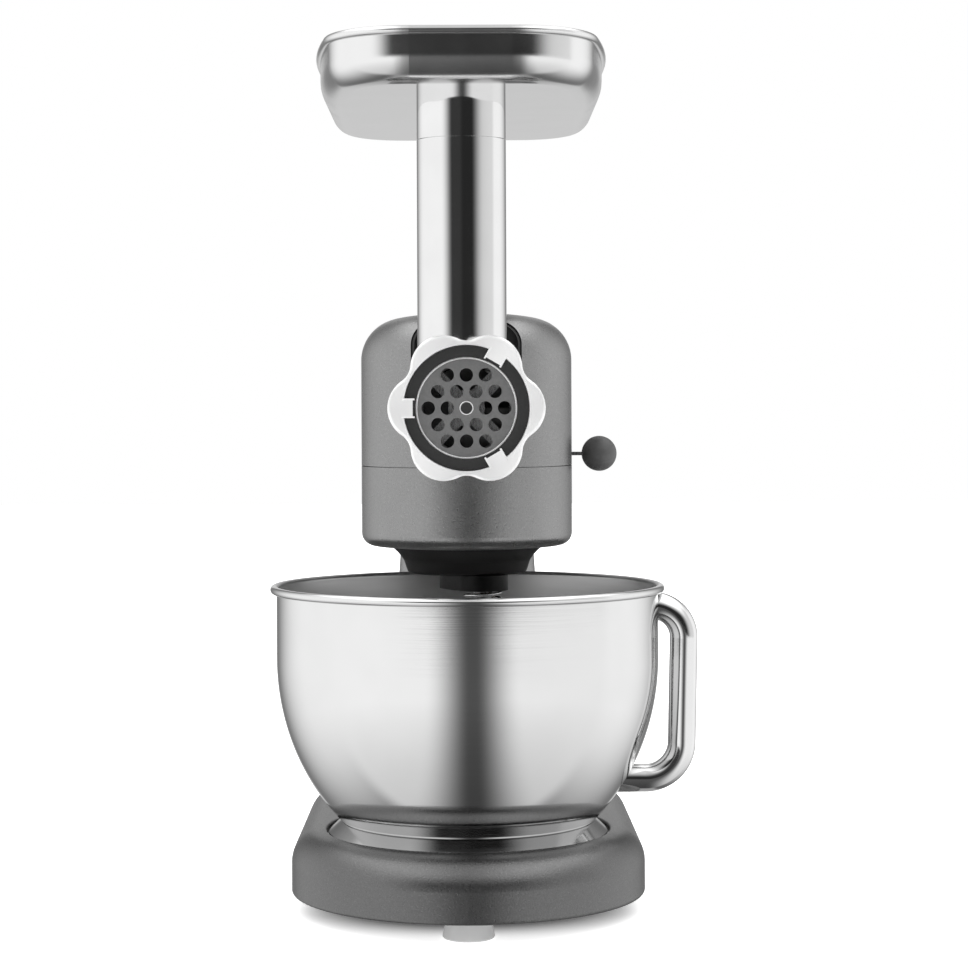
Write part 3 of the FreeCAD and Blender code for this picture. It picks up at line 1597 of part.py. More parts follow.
def tray_block(inset, low, high):
    solid = prism(tray_outline(inset), low, high)
    corners = []
    for edge in upright_edges(solid):
        if not tray_front_y / 2 < edge.BoundBox.YMin < tray_rear_y / 2:
            corners.append(edge)
    return solid.makeFillet(tray_corner_r - inset, corners)


def feed_tray():
    outer = tray_block(0.0, tray_bottom, tray_top)
    rim_edges = edges_between(outer, tray_top - 0.1, tray_top + 0.1)
    rim = Part.Wire(Part.__sortEdges__([edge.copy() for edge in rim_edges]))
    outer = outer.makeFillet(tray_bottom_r, edges_between(outer, tray_bottom - 0.1, tray_bottom + 0.1))
    floor = tray_bottom + tray_wall
    inner = tray_block(tray_wall, floor, tray_top + 1)
    inner = inner.makeFillet(tray_bottom_r - tray_wall, edges_between(inner, floor - 0.1, floor + 0.1))
    pan = outer.cut(inner)
    start = rim.Edges[0]
    heading = start.tangentAt(start.FirstParameter)
    section = Part.Wire(Part.makeCircle(tray_bead_r, start.valueAt(start.FirstParameter), heading))
    bead = rim.makePipeShell([section], True, False)
    neck = upright(tube_r, tube_top + body_gap, tray_bottom + tray_wall, tube_x, tube_y)
    insert_r = tube_bore_r - sliding_clearance
    insert = upright(insert_r, tube_top - neck_insert_length, tube_top + 1, tube_x, tube_y)
    for piece in (pan, bead):
        piece.translate(point(tray_x, 0, 0))
    tray = joined([pan, bead, neck, insert])
    bore = upright(insert_r - neck_wall, tube_top - neck_insert_length - 1, floor + 1, tube_x, tube_y)
    return tray.cut(bore)


def build():
    outer = head_block(0.0)
    inner = head_block(head_wall)
    casting = stand_casting()
    save("base_stand", base_stand(casting))
    save("column_casting", column_casting(casting))
    save("base_cover", base_cover())
    save("base_cover_screws", base_cover_screws())
    save("rubber_feet", rubber_feet())
    save("bowl_seat_plate", bowl_seat_plate())
    save("seat_plate_screws", seat_plate_screws())
    save("cord_gland", cord_gland())
    save("hinge_pin", hinge_pin())
    save("head_rest_pad", head_rest_pad())
    save("release_button", release_button())
    save("mixing_bowl", mixing_bowl())
    save("bowl_foot_ring", bowl_foot_ring())
    save("bowl_handle", bowl_handle())
    save("head_lower_housing", head_lower_housing(outer, inner))
    save("head_upper_cover", head_upper_cover(outer, inner))
    save("cover_screws", cover_screws())
    save("port_liner", port_liner())
    save("hub_housing", hub_housing())
    save("hub_bush", hub_bush())
    save("hub_shaft", hub_shaft())
    save("hub_bevel_gear", hub_bevel_gear())
    save("planetary_skirt", planetary_skirt())
    save("ring_gear", ring_gear())
    save("planetary_carrier", planetary_carrier())
    save("beater_bushes", beater_bushes())
    save("planet_pinion", planet_pinion())
    save("beater_shaft", beater_shaft())
    save("beater_pin", beater_pin())
    save("beater_spring", beater_spring())
    save("planetary_shaft", planetary_shaft())
    save("planetary_bearing", planetary_bearing())
    save("main_gear", main_gear())
    save("drive_bevel_gear", drive_bevel_gear())
    save("gearbox_plate", gearbox_plate())
    save("gear_bridge", gear_bridge())
    save("layshaft_bearings", layshaft_bearings())
    save("layshaft", layshaft())
    save("layshaft_pinion", layshaft_pinion())
    save("driven_pulley", driven_pulley())
    save("drive_belt", drive_belt())
    save("motor_can", motor_can())
    save("motor_stator", motor_stator())
    save("rotor_core", rotor_core())
    save("motor_shaft", motor_shaft())
    save("motor_bearings", motor_bearings())
    save("motor_fan", motor_fan())
    save("motor_pulley", motor_pulley())
    save("speed_switch", speed_switch())
    save("speed_lever_arm", speed_lever_arm())
    save("speed_knob", speed_knob())
    save("control_board", control_board())
    save("grinder_body", grinder_body())
    save("auger_bush", auger_bush())
    save("grinding_plate", grinding_plate())
    save("clamp_ring", clamp_ring())
    save("feed_auger", feed_auger())
    save("cutting_knife", cutting_knife())
    save("ring_nut", ring_nut())
    save("feed_tray", feed_tray())


os.makedirs("parts", exist_ok=True)
build()
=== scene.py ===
import math

import bmesh
import bpy
from mathutils import Matrix, Vector


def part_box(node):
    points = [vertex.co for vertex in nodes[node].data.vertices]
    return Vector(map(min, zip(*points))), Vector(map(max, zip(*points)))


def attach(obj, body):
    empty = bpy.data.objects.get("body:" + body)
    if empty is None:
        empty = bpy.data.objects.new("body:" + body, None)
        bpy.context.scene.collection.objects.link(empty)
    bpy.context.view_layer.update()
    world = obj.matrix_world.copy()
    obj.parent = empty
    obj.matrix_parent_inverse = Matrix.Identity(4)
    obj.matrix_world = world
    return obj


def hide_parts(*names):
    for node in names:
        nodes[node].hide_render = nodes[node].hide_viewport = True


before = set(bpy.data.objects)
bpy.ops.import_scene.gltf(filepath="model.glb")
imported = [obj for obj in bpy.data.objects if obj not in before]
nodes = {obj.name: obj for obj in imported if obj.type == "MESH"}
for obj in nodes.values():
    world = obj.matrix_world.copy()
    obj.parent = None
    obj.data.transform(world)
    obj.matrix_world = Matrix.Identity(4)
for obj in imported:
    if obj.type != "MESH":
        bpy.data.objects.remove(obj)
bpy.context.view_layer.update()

# Places in metres that several pieces share. The bowl axis stands behind the front foot.
BOWL_Y = 0.077
HUB_Z = 0.287
NECK_TOP_Z = 0.4555
NECK_BLEND = 0.002

# One ring of a wave pattern at scale 1 spans this many metres.
WAVE_TURN = math.tau / 20

# Edges that turn more than this stay sharp, and points closer than this are one.
SMOOTH_LIMIT = math.radians(40)
MERGE_DISTANCE = 0.000005

# Bowl: outside of the drawn sheet, from its flat bottom to the rolled rim.
BOWL_R = 0.1092
BOWL_SHEET = 0.0012
BOWL_BOTTOM_Z = 0.0533
BOWL_CURVE_Z = 0.145
BOWL_CURVE_DEPTH = 0.124
BOWL_RIM_Z = 0.184
BOWL_BEAD_R = 0.0024
BOWL_BEAD_START = -120.0
BOWL_BEAD_END = 180.0
BOWL_STEPS = 144
BOWL_CURVE_STEPS = 32
BOWL_BEAD_STEPS = 20

# Feet: where the five stand, the cone that each one is and the cup in its sole.
FOOT_PLACES = ((0.0, 0.0), (-0.066, 0.103), (0.066, 0.103), (-0.052, 0.253), (0.052, 0.253))
FOOT_HEIGHT = 0.011
FOOT_TOP_R = 0.01225
FOOT_SOLE_R = 0.01425
FOOT_EDGE_R = 0.0012
FOOT_EDGE_START = 8.0
FOOT_EDGE_STEPS = 6
FOOT_CUP_RIM_R = 0.0095
FOOT_CUP_FLOOR_R = 0.0085
FOOT_CUP_DEPTH = 0.0012
FOOT_STEPS = 64

# Beater spring.
SPRING_WIRE_R = 0.001
SPRING_PITCH = 0.0036
SPRING_WIRE_SIDES = 12
SPRING_TURN_STEPS = 36

# Grinder mouth: the plate's face, the two thin rings on it and the end of the auger's stud.
PLATE_FACE_Y = -0.060
PLATE_RING_R = 0.0264
PLATE_RING_WIDTH = 0.0009
STUD_RING_R = 0.0036
STUD_RING_WIDTH = 0.0005
RING_RISE = 0.0005
RING_BEVEL = 0.0002
RING_STEPS = 96
STUD_END_R = 0.0029
STUD_END_RISE = 0.0003
STUD_END_BEVEL = 0.0002
STUD_DIMPLE_R = 0.0011
STUD_DIMPLE_RISE = 0.0001
STUD_STEPS = 64

# Walls beside the nut's tabs.
TAB_ANGLES = (180.0, 60.0, 300.0)
TAB_WALL_INNER_R = 0.0268
TAB_WALL_OUTER_R = 0.0335
TAB_WALL_OFFSET = 0.0046
TAB_WALL_WIDTH = 0.0010
TAB_WALL_FRONT_Y = -0.0643
TAB_WALL_REAR_Y = -0.0630
TAB_WALL_BEVEL = 0.0002

# Studio: where the photograph was taken from.
CAMERA_Y = -1.328
CAMERA_Z = 0.287
CAMERA_LENS = 91.1
CAMERA_SENSOR = 36.0
CAMERA_SHIFT_X = 0.0181
CAMERA_SHIFT_Y = -0.0785
CAMERA_ROLL = -0.25
CAMERA_REACH = 100.0

# Floor: a lit paper with a painted shadow: its glow drops in an oval under the base, long from front to
# back.
FLOOR_HALF = 6.0
FLOOR_GLOW = 0.8
SHADOW_GLOW = 0.02
SHADOW_HALF_WIDTH = 0.097
SHADOW_MIDDLE_Y = 0.149
SHADOW_STRAIGHT = 0.072
SHADOW_END = 0.064
SHADOW_EDGES = (0.62, 1.3)

# Surround: how bright it is in each direction. X points right, Y away from the camera and Z up.
# In front, a dark gap between the lit sides: each pair holds below and above the horizon.
HORIZON_Z = (-0.08, -0.06)
GAP_INNER = (0.03, 0.42)
GAP_OUTER = (0.48, 0.84)
GAP_MIDDLE = (0.05, 0.02)
GAP_LEVEL = (0.09, 0.04)
LEFT_LEVEL = 1.21
RIGHT_LEVEL_BELOW = 1.15
RIGHT_FADE_X = (0.6, 1.0)
RIGHT_FADE_LEVEL = (0.65, 0.93)
HALF_BLEND = 0.1

# Behind, a dark flag on each side; far out to the sides the surround is clear again.
FLAG_X = (0.18, 0.28)
FLAG_LEVEL = (0.66, 0.22)
CLEAR_X = (0.3, 0.95)
CLEAR_LEVEL = 1.2

# Below it dims, and a softbox hangs overhead that reaches lower in front.
BELOW_Z = (-0.98, -0.3)
BELOW_LEVEL = (0.62, 1.0)
SOFTBOX_Y = (-0.6, -0.1)
SOFTBOX_LOWEST_Z = (0.2, 0.5)
SOFTBOX_FULL_Z = 0.8
SOFTBOX_X = (0.0, 0.45)
SOFTBOX_LEVEL = (0.8, 2.1)


def linear(colour):
    """Scene-linear colour from an sRGB hex value."""
    parts = [int(colour[i:i + 2], 16) / 255 for i in (1, 3, 5)]
    return [p / 12.92 if p <= 0.04045 else ((p + 0.055) / 1.055) ** 2.4 for p in parts] + [1.0]


def per_metre(millimetres):
    """Scale of a pattern whose features have this size."""
    return 1000.0 / millimetres


def add(tree, kind, settings, inputs):
    """Adds a node; an input that is a socket is linked, and any other is set."""
    made = tree.nodes.new(kind)
    for name, value in settings.items():
        setattr(made, name, value)
    for name, value in inputs.items():
        if isinstance(value, bpy.types.NodeSocket):
            tree.links.new(value, made.inputs[name])
        else:
            made.inputs[name].default_value = value
    return made


def new_material(name):
    """Empty material with its coordinates ready."""
    material = bpy.data.materials.new(name)
    material.use_nodes = True
    tree = material.node_tree
    tree.nodes.clear()
    place = add(tree, "ShaderNodeTexCoord", {}, {}).outputs["Object"]
    return material, tree, place


def finish_material(material, tree, settings, height=None, depth=0.0):
    """Principled surface with the given sockets, raised by a height of that depth in metres."""
    inputs = dict(settings)
    if height:
        relief = add(tree, "ShaderNodeBump", {}, {"Height": height, "Distance": depth, "Strength": 1.0})
        inputs["Normal"] = relief.outputs["Normal"]
    surface = add(tree, "ShaderNodeBsdfPrincipled", {}, inputs)
    add(tree, "ShaderNodeOutputMaterial", {}, {"Surface": surface.outputs["BSDF"]})
    return material


def textured_paint(name, dark, light, pit_grey, fleck_grey):
    """Metallic powder coat on die-cast zinc: flake that mirrors softly, under an even sandy grain.

    The grain is drawn at 1 mm and the flake at 0.65 mm, coarser than real ones, so that they show.
    """
    material, tree, place = new_material(name)
    grain = add(tree, "ShaderNodeTexNoise", {}, {
        "Vector": place, "Scale": per_metre(1.05), "Detail": 3.0}).outputs["Fac"]
    fleck = add(tree, "ShaderNodeTexNoise", {}, {
        "Vector": place, "Scale": per_metre(0.65), "Detail": 1.0}).outputs["Fac"]
    drift = add(tree, "ShaderNodeTexNoise", {}, {
        "Vector": place, "Scale": per_metre(62.5), "Detail": 2.0}).outputs["Fac"]
    base = add(tree, "ShaderNodeMix", {"data_type": "RGBA"}, {
        0: drift, 6: linear(dark), 7: linear(light)}).outputs[2]
    bright_fleck = add(tree, "ShaderNodeMapRange", {}, {
        "Value": fleck, "From Min": 0.56, "From Max": 0.74, "To Min": 0.0,
        "To Max": 0.3}).outputs["Result"]
    flecked = add(tree, "ShaderNodeMix", {"data_type": "RGBA"}, {
        0: bright_fleck, 6: base, 7: linear(fleck_grey)}).outputs[2]
    pit = add(tree, "ShaderNodeMapRange", {}, {
        "Value": fleck, "From Min": 0.44, "From Max": 0.3, "To Min": 0.0,
        "To Max": 0.25}).outputs["Result"]
    colour = add(tree, "ShaderNodeMix", {"data_type": "RGBA"}, {
        0: pit, 6: flecked, 7: linear(pit_grey)}).outputs[2]
    rough = add(tree, "ShaderNodeMapRange", {}, {
        "Value": grain, "From Min": 0.3, "From Max": 0.7, "To Min": 0.26,
        "To Max": 0.36}).outputs["Result"]
    return finish_material(material, tree, {
        "Base Color": colour, "Metallic": 0.92, "Roughness": rough}, height=grain, depth=0.0001)


def polished_steel(name, smooth, rough):
    """Drawn stainless steel, polished: faint drift in the gloss over 25 mm, and hair lines along the draw.

    The hair lines are drawn 0.8 mm apart, coarser than real ones, so that they show.
    """
    material, tree, place = new_material(name)
    drift = add(tree, "ShaderNodeTexNoise", {}, {
        "Vector": place, "Scale": per_metre(25.0), "Detail": 3.0}).outputs["Fac"]
    drawn = add(tree, "ShaderNodeMapping", {}, {
        "Vector": place, "Scale": (1.0, 1.0, 0.05)}).outputs["Vector"]
    hairs = add(tree, "ShaderNodeTexNoise", {}, {
        "Vector": drawn, "Scale": per_metre(0.8), "Detail": 1.0}).outputs["Fac"]
    gloss = add(tree, "ShaderNodeMapRange", {}, {
        "Value": drift, "From Min": 0.3, "From Max": 0.7, "To Min": smooth,
        "To Max": rough}).outputs["Result"]
    colour = add(tree, "ShaderNodeMix", {"data_type": "RGBA"}, {
        0: drift, 6: linear("#d8d8d8"), 7: linear("#e2e2e2")}).outputs[2]
    return finish_material(material, tree, {
        "Base Color": colour, "Metallic": 1.0, "Roughness": gloss}, height=hairs, depth=0.0000015)


def pressed_tray_steel():
    """Pressed stainless steel: the pan is satin from the press, and its neck was turned and buffed."""
    material, tree, place = new_material("pressed_stainless_steel")
    drift = add(tree, "ShaderNodeTexNoise", {}, {
        "Vector": place, "Scale": per_metre(25.0), "Detail": 3.0}).outputs["Fac"]
    height = add(tree, "ShaderNodeSeparateXYZ", {}, {"Vector": place}).outputs["Z"]
    pan_gloss = add(tree, "ShaderNodeMapRange", {}, {
        "Value": drift, "From Min": 0.3, "From Max": 0.7, "To Min": 0.14,
        "To Max": 0.19}).outputs["Result"]
    gloss = add(tree, "ShaderNodeMapRange", {}, {
        "Value": height, "From Min": NECK_TOP_Z - NECK_BLEND, "From Max": NECK_TOP_Z, "To Min": 0.07,
        "To Max": pan_gloss}).outputs["Result"]
    colour = add(tree, "ShaderNodeMix", {"data_type": "RGBA"}, {
        0: drift, 6: linear("#d8d8d8"), 7: linear("#e2e2e2")}).outputs[2]
    return finish_material(material, tree, {"Base Color": colour, "Metallic": 1.0, "Roughness": gloss})


def spun_steel(name, dark, light, smooth, rough, depth):
    """Spun stainless steel: level lines left by the buffing belt spread the light a little up and down.

    The lines are drawn 0.6 mm apart and 50 mm long, coarser than the real 0.1 mm, so that they show.
    """
    material, tree, place = new_material(name)
    level = add(tree, "ShaderNodeMapping", {}, {
        "Vector": place,
        "Scale": (per_metre(50.0), per_metre(50.0), per_metre(0.625))}).outputs["Vector"]
    lines = add(tree, "ShaderNodeTexNoise", {}, {
        "Vector": level, "Scale": 1.0, "Detail": 2.0}).outputs["Fac"]
    drift = add(tree, "ShaderNodeTexNoise", {}, {
        "Vector": place, "Scale": per_metre(40.0), "Detail": 2.0}).outputs["Fac"]
    gloss = add(tree, "ShaderNodeMapRange", {}, {
        "Value": lines, "From Min": 0.3, "From Max": 0.7, "To Min": smooth,
        "To Max": rough}).outputs["Result"]
    colour = add(tree, "ShaderNodeMix", {"data_type": "RGBA"}, {
        0: drift, 6: linear(dark), 7: linear(light)}).outputs[2]
    return finish_material(material, tree, {
        "Base Color": colour, "Metallic": 1.0, "Roughness": gloss}, height=lines, depth=depth)


def turned_aluminium():
    """Cast aluminium faced on a lathe: its fine rings fan the light out, so it glows to left and right.

    The rings are drawn 0.5 mm apart, coarser than real ones, so that they show.
    """
    material, tree, place = new_material("lathe_turned_aluminium")
    hub = add(tree, "ShaderNodeMapping", {}, {
        "Vector": place, "Location": (0.0, 0.0, -HUB_Z)}).outputs["Vector"]
    rings = add(tree, "ShaderNodeTexWave", {"wave_type": "RINGS", "rings_direction": "Y"}, {
        "Vector": hub, "Scale": per_metre(0.5) * WAVE_TURN, "Distortion": 1.5}).outputs["Fac"]
    drift = add(tree, "ShaderNodeTexNoise", {}, {
        "Vector": place, "Scale": per_metre(15.0), "Detail": 2.0}).outputs["Fac"]
    colour = add(tree, "ShaderNodeMix", {"data_type": "RGBA"}, {
        0: drift, 6: linear("#f6f6f6"), 7: linear("#ffffff")}).outputs[2]
    rough = add(tree, "ShaderNodeMapRange", {}, {
        "Value": drift, "From Min": 0.3, "From Max": 0.7, "To Min": 0.4,
        "To Max": 0.5}).outputs["Result"]
    around = add(tree, "ShaderNodeTangent", {
        "direction_type": "RADIAL", "axis": "Y"}, {}).outputs["Tangent"]
    return finish_material(material, tree, {
        "Base Color": colour, "Metallic": 0.62, "Roughness": rough, "Anisotropic": 0.95,
        "Anisotropic Rotation": 0.25, "Tangent": around}, height=rings, depth=0.000002)


def tool_steel(name, dark, light, rough):
    """Hardened steel or cast metal under a dull oxide film, with faint marks of grinding or sand.

    The marks are drawn 0.9 mm wide, coarser than real ones, so that they show.
    """
    material, tree, place = new_material(name)
    marks = add(tree, "ShaderNodeTexNoise", {}, {
        "Vector": place, "Scale": per_metre(0.9), "Detail": 2.0}).outputs["Fac"]
    gloss = add(tree, "ShaderNodeMapRange", {}, {
        "Value": marks, "From Min": 0.3, "From Max": 0.7, "To Min": rough - 0.05,
        "To Max": rough + 0.07}).outputs["Result"]
    colour = add(tree, "ShaderNodeMix", {"data_type": "RGBA"}, {
        0: marks, 6: linear(dark), 7: linear(light)}).outputs[2]
    return finish_material(material, tree, {
        "Base Color": colour, "Metallic": 0.6, "Roughness": gloss}, height=marks, depth=0.00001)


def moulded_plastic(name, dark, light, rough):
    """Injection-moulded plastic or rubber: a soft gloss broken by the tooth of a spark-eroded mould.

    The tooth is drawn at 0.6 mm, coarser than real, so that it shows.
    """
    material, tree, place = new_material(name)
    tooth = add(tree, "ShaderNodeTexNoise", {}, {
        "Vector": place, "Scale": per_metre(0.625), "Detail": 2.0}).outputs["Fac"]
    drift = add(tree, "ShaderNodeTexNoise", {}, {
        "Vector": place, "Scale": per_metre(12.5), "Detail": 2.0}).outputs["Fac"]
    gloss = add(tree, "ShaderNodeMapRange", {}, {
        "Value": tooth, "From Min": 0.3, "From Max": 0.7, "To Min": rough - 0.06,
        "To Max": rough + 0.06}).outputs["Result"]
    colour = add(tree, "ShaderNodeMix", {"data_type": "RGBA"}, {
        0: drift, 6: linear(dark), 7: linear(light)}).outputs[2]
    return finish_material(material, tree, {
        "Base Color": colour, "Roughness": gloss, "IOR": 1.5}, height=tooth, depth=0.00005)


def machined_metal(name, dark, light, rough):
    """Turned, milled or ground metal: tool lines that catch the light, and a little stain in 9 mm patches.

    The tool lines are drawn 0.8 mm apart, coarser than real ones, so that they show.
    """
    material, tree, place = new_material(name)
    drawn = add(tree, "ShaderNodeMapping", {}, {
        "Vector": place, "Scale": (1.0, 1.0, 0.2)}).outputs["Vector"]
    lines = add(tree, "ShaderNodeTexNoise", {}, {
        "Vector": drawn, "Scale": per_metre(0.8), "Detail": 2.0}).outputs["Fac"]
    stain = add(tree, "ShaderNodeTexNoise", {}, {
        "Vector": place, "Scale": per_metre(9.0), "Detail": 3.0}).outputs["Fac"]
    gloss = add(tree, "ShaderNodeMapRange", {}, {
        "Value": lines, "From Min": 0.3, "From Max": 0.7, "To Min": rough - 0.05,
        "To Max": rough + 0.08}).outputs["Result"]
    colour = add(tree, "ShaderNodeMix", {"data_type": "RGBA"}, {
        0: stain, 6: linear(dark), 7: linear(light)}).outputs[2]
    return finish_material(material, tree, {
        "Base Color": colour, "Metallic": 1.0, "Roughness": gloss}, height=lines, depth=0.000008)


def dress(material, *names):
    """Gives CAD nodes a finish in place of the plain one they came with."""
    for name in names:
        slots = nodes[name].data.materials
        slots.clear()
        slots.append(material)


def place_piece(form, name, body, slot, *materials):
    """Turns a finished bmesh into a smooth piece that rides on a CAD body."""
    bmesh.ops.recalc_face_normals(form, faces=form.faces)
    for face in form.faces:
        face.smooth = True
    for edge in form.edges:
        edge.smooth = not edge.is_manifold or edge.calc_face_angle() < SMOOTH_LIMIT
    mesh = bpy.data.meshes.new(name)
    form.to_mesh(mesh)
    form.free()
    for material in materials:
        mesh.materials.append(material)
    piece = bpy.data.objects.new(name, mesh)
    bpy.context.scene.collection.objects.link(piece)
    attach(piece, body)
    return piece


def arc(center, across, along, start, end, steps):
    """Points on an ellipse in the X-Z plane, angles in degrees from +X."""
    points = []
    for i in range(steps + 1):
        angle = math.radians(start + (end - start) * i / steps)
        points.append(center + Vector((across * math.cos(angle), 0.0, along * math.sin(angle))))
    return points


def spin_profile(form, profile, center, axis, steps, closed):
    """Turns a profile all the way round an axis."""
    verts = [form.verts.new(point) for point in profile]
    edges = [form.edges.new(pair) for pair in zip(verts, verts[1:])]
    if closed:
        edges.append(form.edges.new((verts[-1], verts[0])))
    bmesh.ops.spin(
        form, geom=verts + edges, cent=center, axis=axis, angle=math.tau, steps=steps, use_merge=True)
    bmesh.ops.remove_doubles(form, verts=form.verts, dist=MERGE_DISTANCE)


def make_bowl(outside, inside):
    """Drawn and spun bowl: flat bottom, swelling wall, straight brim and a rolled bead round the rim."""
    form = bmesh.new()
    middle = Vector((0.0, BOWL_Y, BOWL_CURVE_Z))
    low = -math.degrees(math.asin((BOWL_CURVE_Z - BOWL_BOTTOM_Z) / BOWL_CURVE_DEPTH))
    inner_r = BOWL_R - BOWL_SHEET
    inner_depth = BOWL_CURVE_DEPTH - BOWL_SHEET
    floor_z = BOWL_BOTTOM_Z + BOWL_SHEET
    inner_low = -math.degrees(math.asin((BOWL_CURVE_Z - floor_z) / inner_depth))
    bead = Vector((inner_r + BOWL_BEAD_R, BOWL_Y, BOWL_RIM_Z))
    profile = [Vector((0.0, BOWL_Y, BOWL_BOTTOM_Z))]
    profile += arc(middle, BOWL_R, BOWL_CURVE_DEPTH, low, 0.0, BOWL_CURVE_STEPS)
    profile += arc(bead, BOWL_BEAD_R, BOWL_BEAD_R, BOWL_BEAD_START, BOWL_BEAD_END, BOWL_BEAD_STEPS)
    profile += reversed(arc(middle, inner_r, inner_depth, inner_low, 0.0, BOWL_CURVE_STEPS))
    profile.append(Vector((0.0, BOWL_Y, floor_z)))
    spin_profile(form, profile, (0.0, BOWL_Y, 0.0), (0.0, 0.0, 1.0), BOWL_STEPS, False)
    bmesh.ops.recalc_face_normals(form, faces=form.faces)
    for face in form.faces:
        face.material_index = 1 if face.normal.dot(middle - face.calc_center_median()) > 0 else 0
    bowl = place_piece(form, "bowl_shell", "bowl", "bowl_steel", outside, inside)
    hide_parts("mixing_bowl")


def make_feet(rubber):
    """Five moulded feet: a cone with a rounded edge and a shallow cup in the sole."""
    form = bmesh.new()
    for x, y in FOOT_PLACES:
        profile = [Vector((x, y, FOOT_HEIGHT)), Vector((x + FOOT_TOP_R, y, FOOT_HEIGHT))]
        edge = Vector((x + FOOT_SOLE_R - FOOT_EDGE_R, y, FOOT_EDGE_R))
        profile += arc(edge, FOOT_EDGE_R, FOOT_EDGE_R, FOOT_EDGE_START, -90.0, FOOT_EDGE_STEPS)
        profile += [
            Vector((x + FOOT_CUP_RIM_R, y, 0.0)), Vector((x + FOOT_CUP_FLOOR_R, y, FOOT_CUP_DEPTH)),
            Vector((x, y, FOOT_CUP_DEPTH))]
        spin_profile(form, profile, (x, y, 0.0), (0.0, 0.0, 1.0), FOOT_STEPS, False)
    feet = place_piece(form, "foot_cones", "stand", "foot_rubber", rubber)
    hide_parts("rubber_feet")


def make_spring(wire):
    """Wound beater spring in the place that its solid holds."""
    low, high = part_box("beater_spring")
    mean_r = (high[0] - low[0]) / 2 - SPRING_WIRE_R
    middle = Vector(((low[0] + high[0]) / 2, (low[1] + high[1]) / 2, low[2] + SPRING_WIRE_R))
    rise = high[2] - low[2] - 2 * SPRING_WIRE_R
    turns = rise / SPRING_PITCH
    steps = round(turns * SPRING_TURN_STEPS)
    form = bmesh.new()
    start = Matrix.Translation(middle + Vector((mean_r, 0.0, 0.0)))
    upright = Matrix.Rotation(math.radians(90), 4, "X")
    ring = bmesh.ops.create_circle(
        form, segments=SPRING_WIRE_SIDES, radius=SPRING_WIRE_R, cap_ends=True, matrix=start @ upright)
    disc = [face for vert in ring["verts"] for face in vert.link_faces][:1]
    bmesh.ops.spin(
        form, geom=ring["verts"] + form.edges[:] + disc, cent=middle, axis=(0.0, 0.0, 1.0),
        dvec=(0.0, 0.0, rise / steps), angle=turns * math.tau, steps=steps, use_merge=False)
    coil = place_piece(form, "beater_coil", "beater", "shaft_steel", wire)
    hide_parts("beater_spring")


def make_mouth_rings(bright):
    """Two bright lips on the grinding plate: one inside the clamp ring, one round the auger's stud."""
    front = PLATE_FACE_Y - RING_RISE
    for name, radius, width in (
            ("plate_lip", PLATE_RING_R, PLATE_RING_WIDTH), ("stud_lip", STUD_RING_R, STUD_RING_WIDTH)):
        form = bmesh.new()
        inner_r = radius - width
        profile = [
            Vector((radius, PLATE_FACE_Y, HUB_Z)), Vector((radius, front + RING_BEVEL, HUB_Z)),
            Vector((radius - RING_BEVEL, front, HUB_Z)), Vector((inner_r + RING_BEVEL, front, HUB_Z)),
            Vector((inner_r, front + RING_BEVEL, HUB_Z)), Vector((inner_r, PLATE_FACE_Y, HUB_Z))]
        spin_profile(form, profile, (0.0, 0.0, HUB_Z), (0.0, 1.0, 0.0), RING_STEPS, True)
        place_piece(form, name, "grinder", "polished_steel", bright)


def make_tab_walls(bright):
    """Raised walls along both sides of the nut's three tabs, reaching in to the lip on the plate."""
    form = bmesh.new()
    length = TAB_WALL_OUTER_R - TAB_WALL_INNER_R
    depth = TAB_WALL_REAR_Y - TAB_WALL_FRONT_Y
    size = Matrix.Diagonal((length, depth, TAB_WALL_WIDTH, 1.0))
    middle_r = TAB_WALL_INNER_R + length / 2
    middle_y = (TAB_WALL_FRONT_Y + TAB_WALL_REAR_Y) / 2
    for angle in TAB_ANGLES:
        turn = Matrix.Translation((0.0, 0.0, HUB_Z)) @ Matrix.Rotation(math.radians(-angle), 4, "Y")
        for side in (-1.0, 1.0):
            place = Matrix.Translation((middle_r, middle_y, side * TAB_WALL_OFFSET))
            bmesh.ops.create_cube(form, size=1.0, matrix=turn @ place @ size)
    bmesh.ops.bevel(
        form, geom=form.edges, offset=TAB_WALL_BEVEL, affect="EDGES", segments=2, profile=0.5, material=-1)
    place_piece(form, "nut_tab_walls", "nut", "nut_aluminium", bright)


def make_painted_shade_stud_end(black_steel_and_painted_shade):
    """End of the auger's stud in near-black steel, with the dimple that the lathe centre left in it: the
    near-black is painted shade for a countersunk centre.
    """
    form = bmesh.new()
    front = PLATE_FACE_Y - STUD_END_RISE
    profile = [
        Vector((0.0, PLATE_FACE_Y, HUB_Z)), Vector((STUD_END_R, PLATE_FACE_Y, HUB_Z)),
        Vector((STUD_END_R - STUD_END_BEVEL, front, HUB_Z)), Vector((STUD_DIMPLE_R, front, HUB_Z)),
        Vector((0.0, PLATE_FACE_Y - STUD_DIMPLE_RISE, HUB_Z))]
    spin_profile(form, profile, (0.0, 0.0, HUB_Z), (0.0, 1.0, 0.0), STUD_STEPS, False)
    place_piece(form, "stud_end_painted_shade", "auger", "plate_steel", black_steel_and_painted_shade)


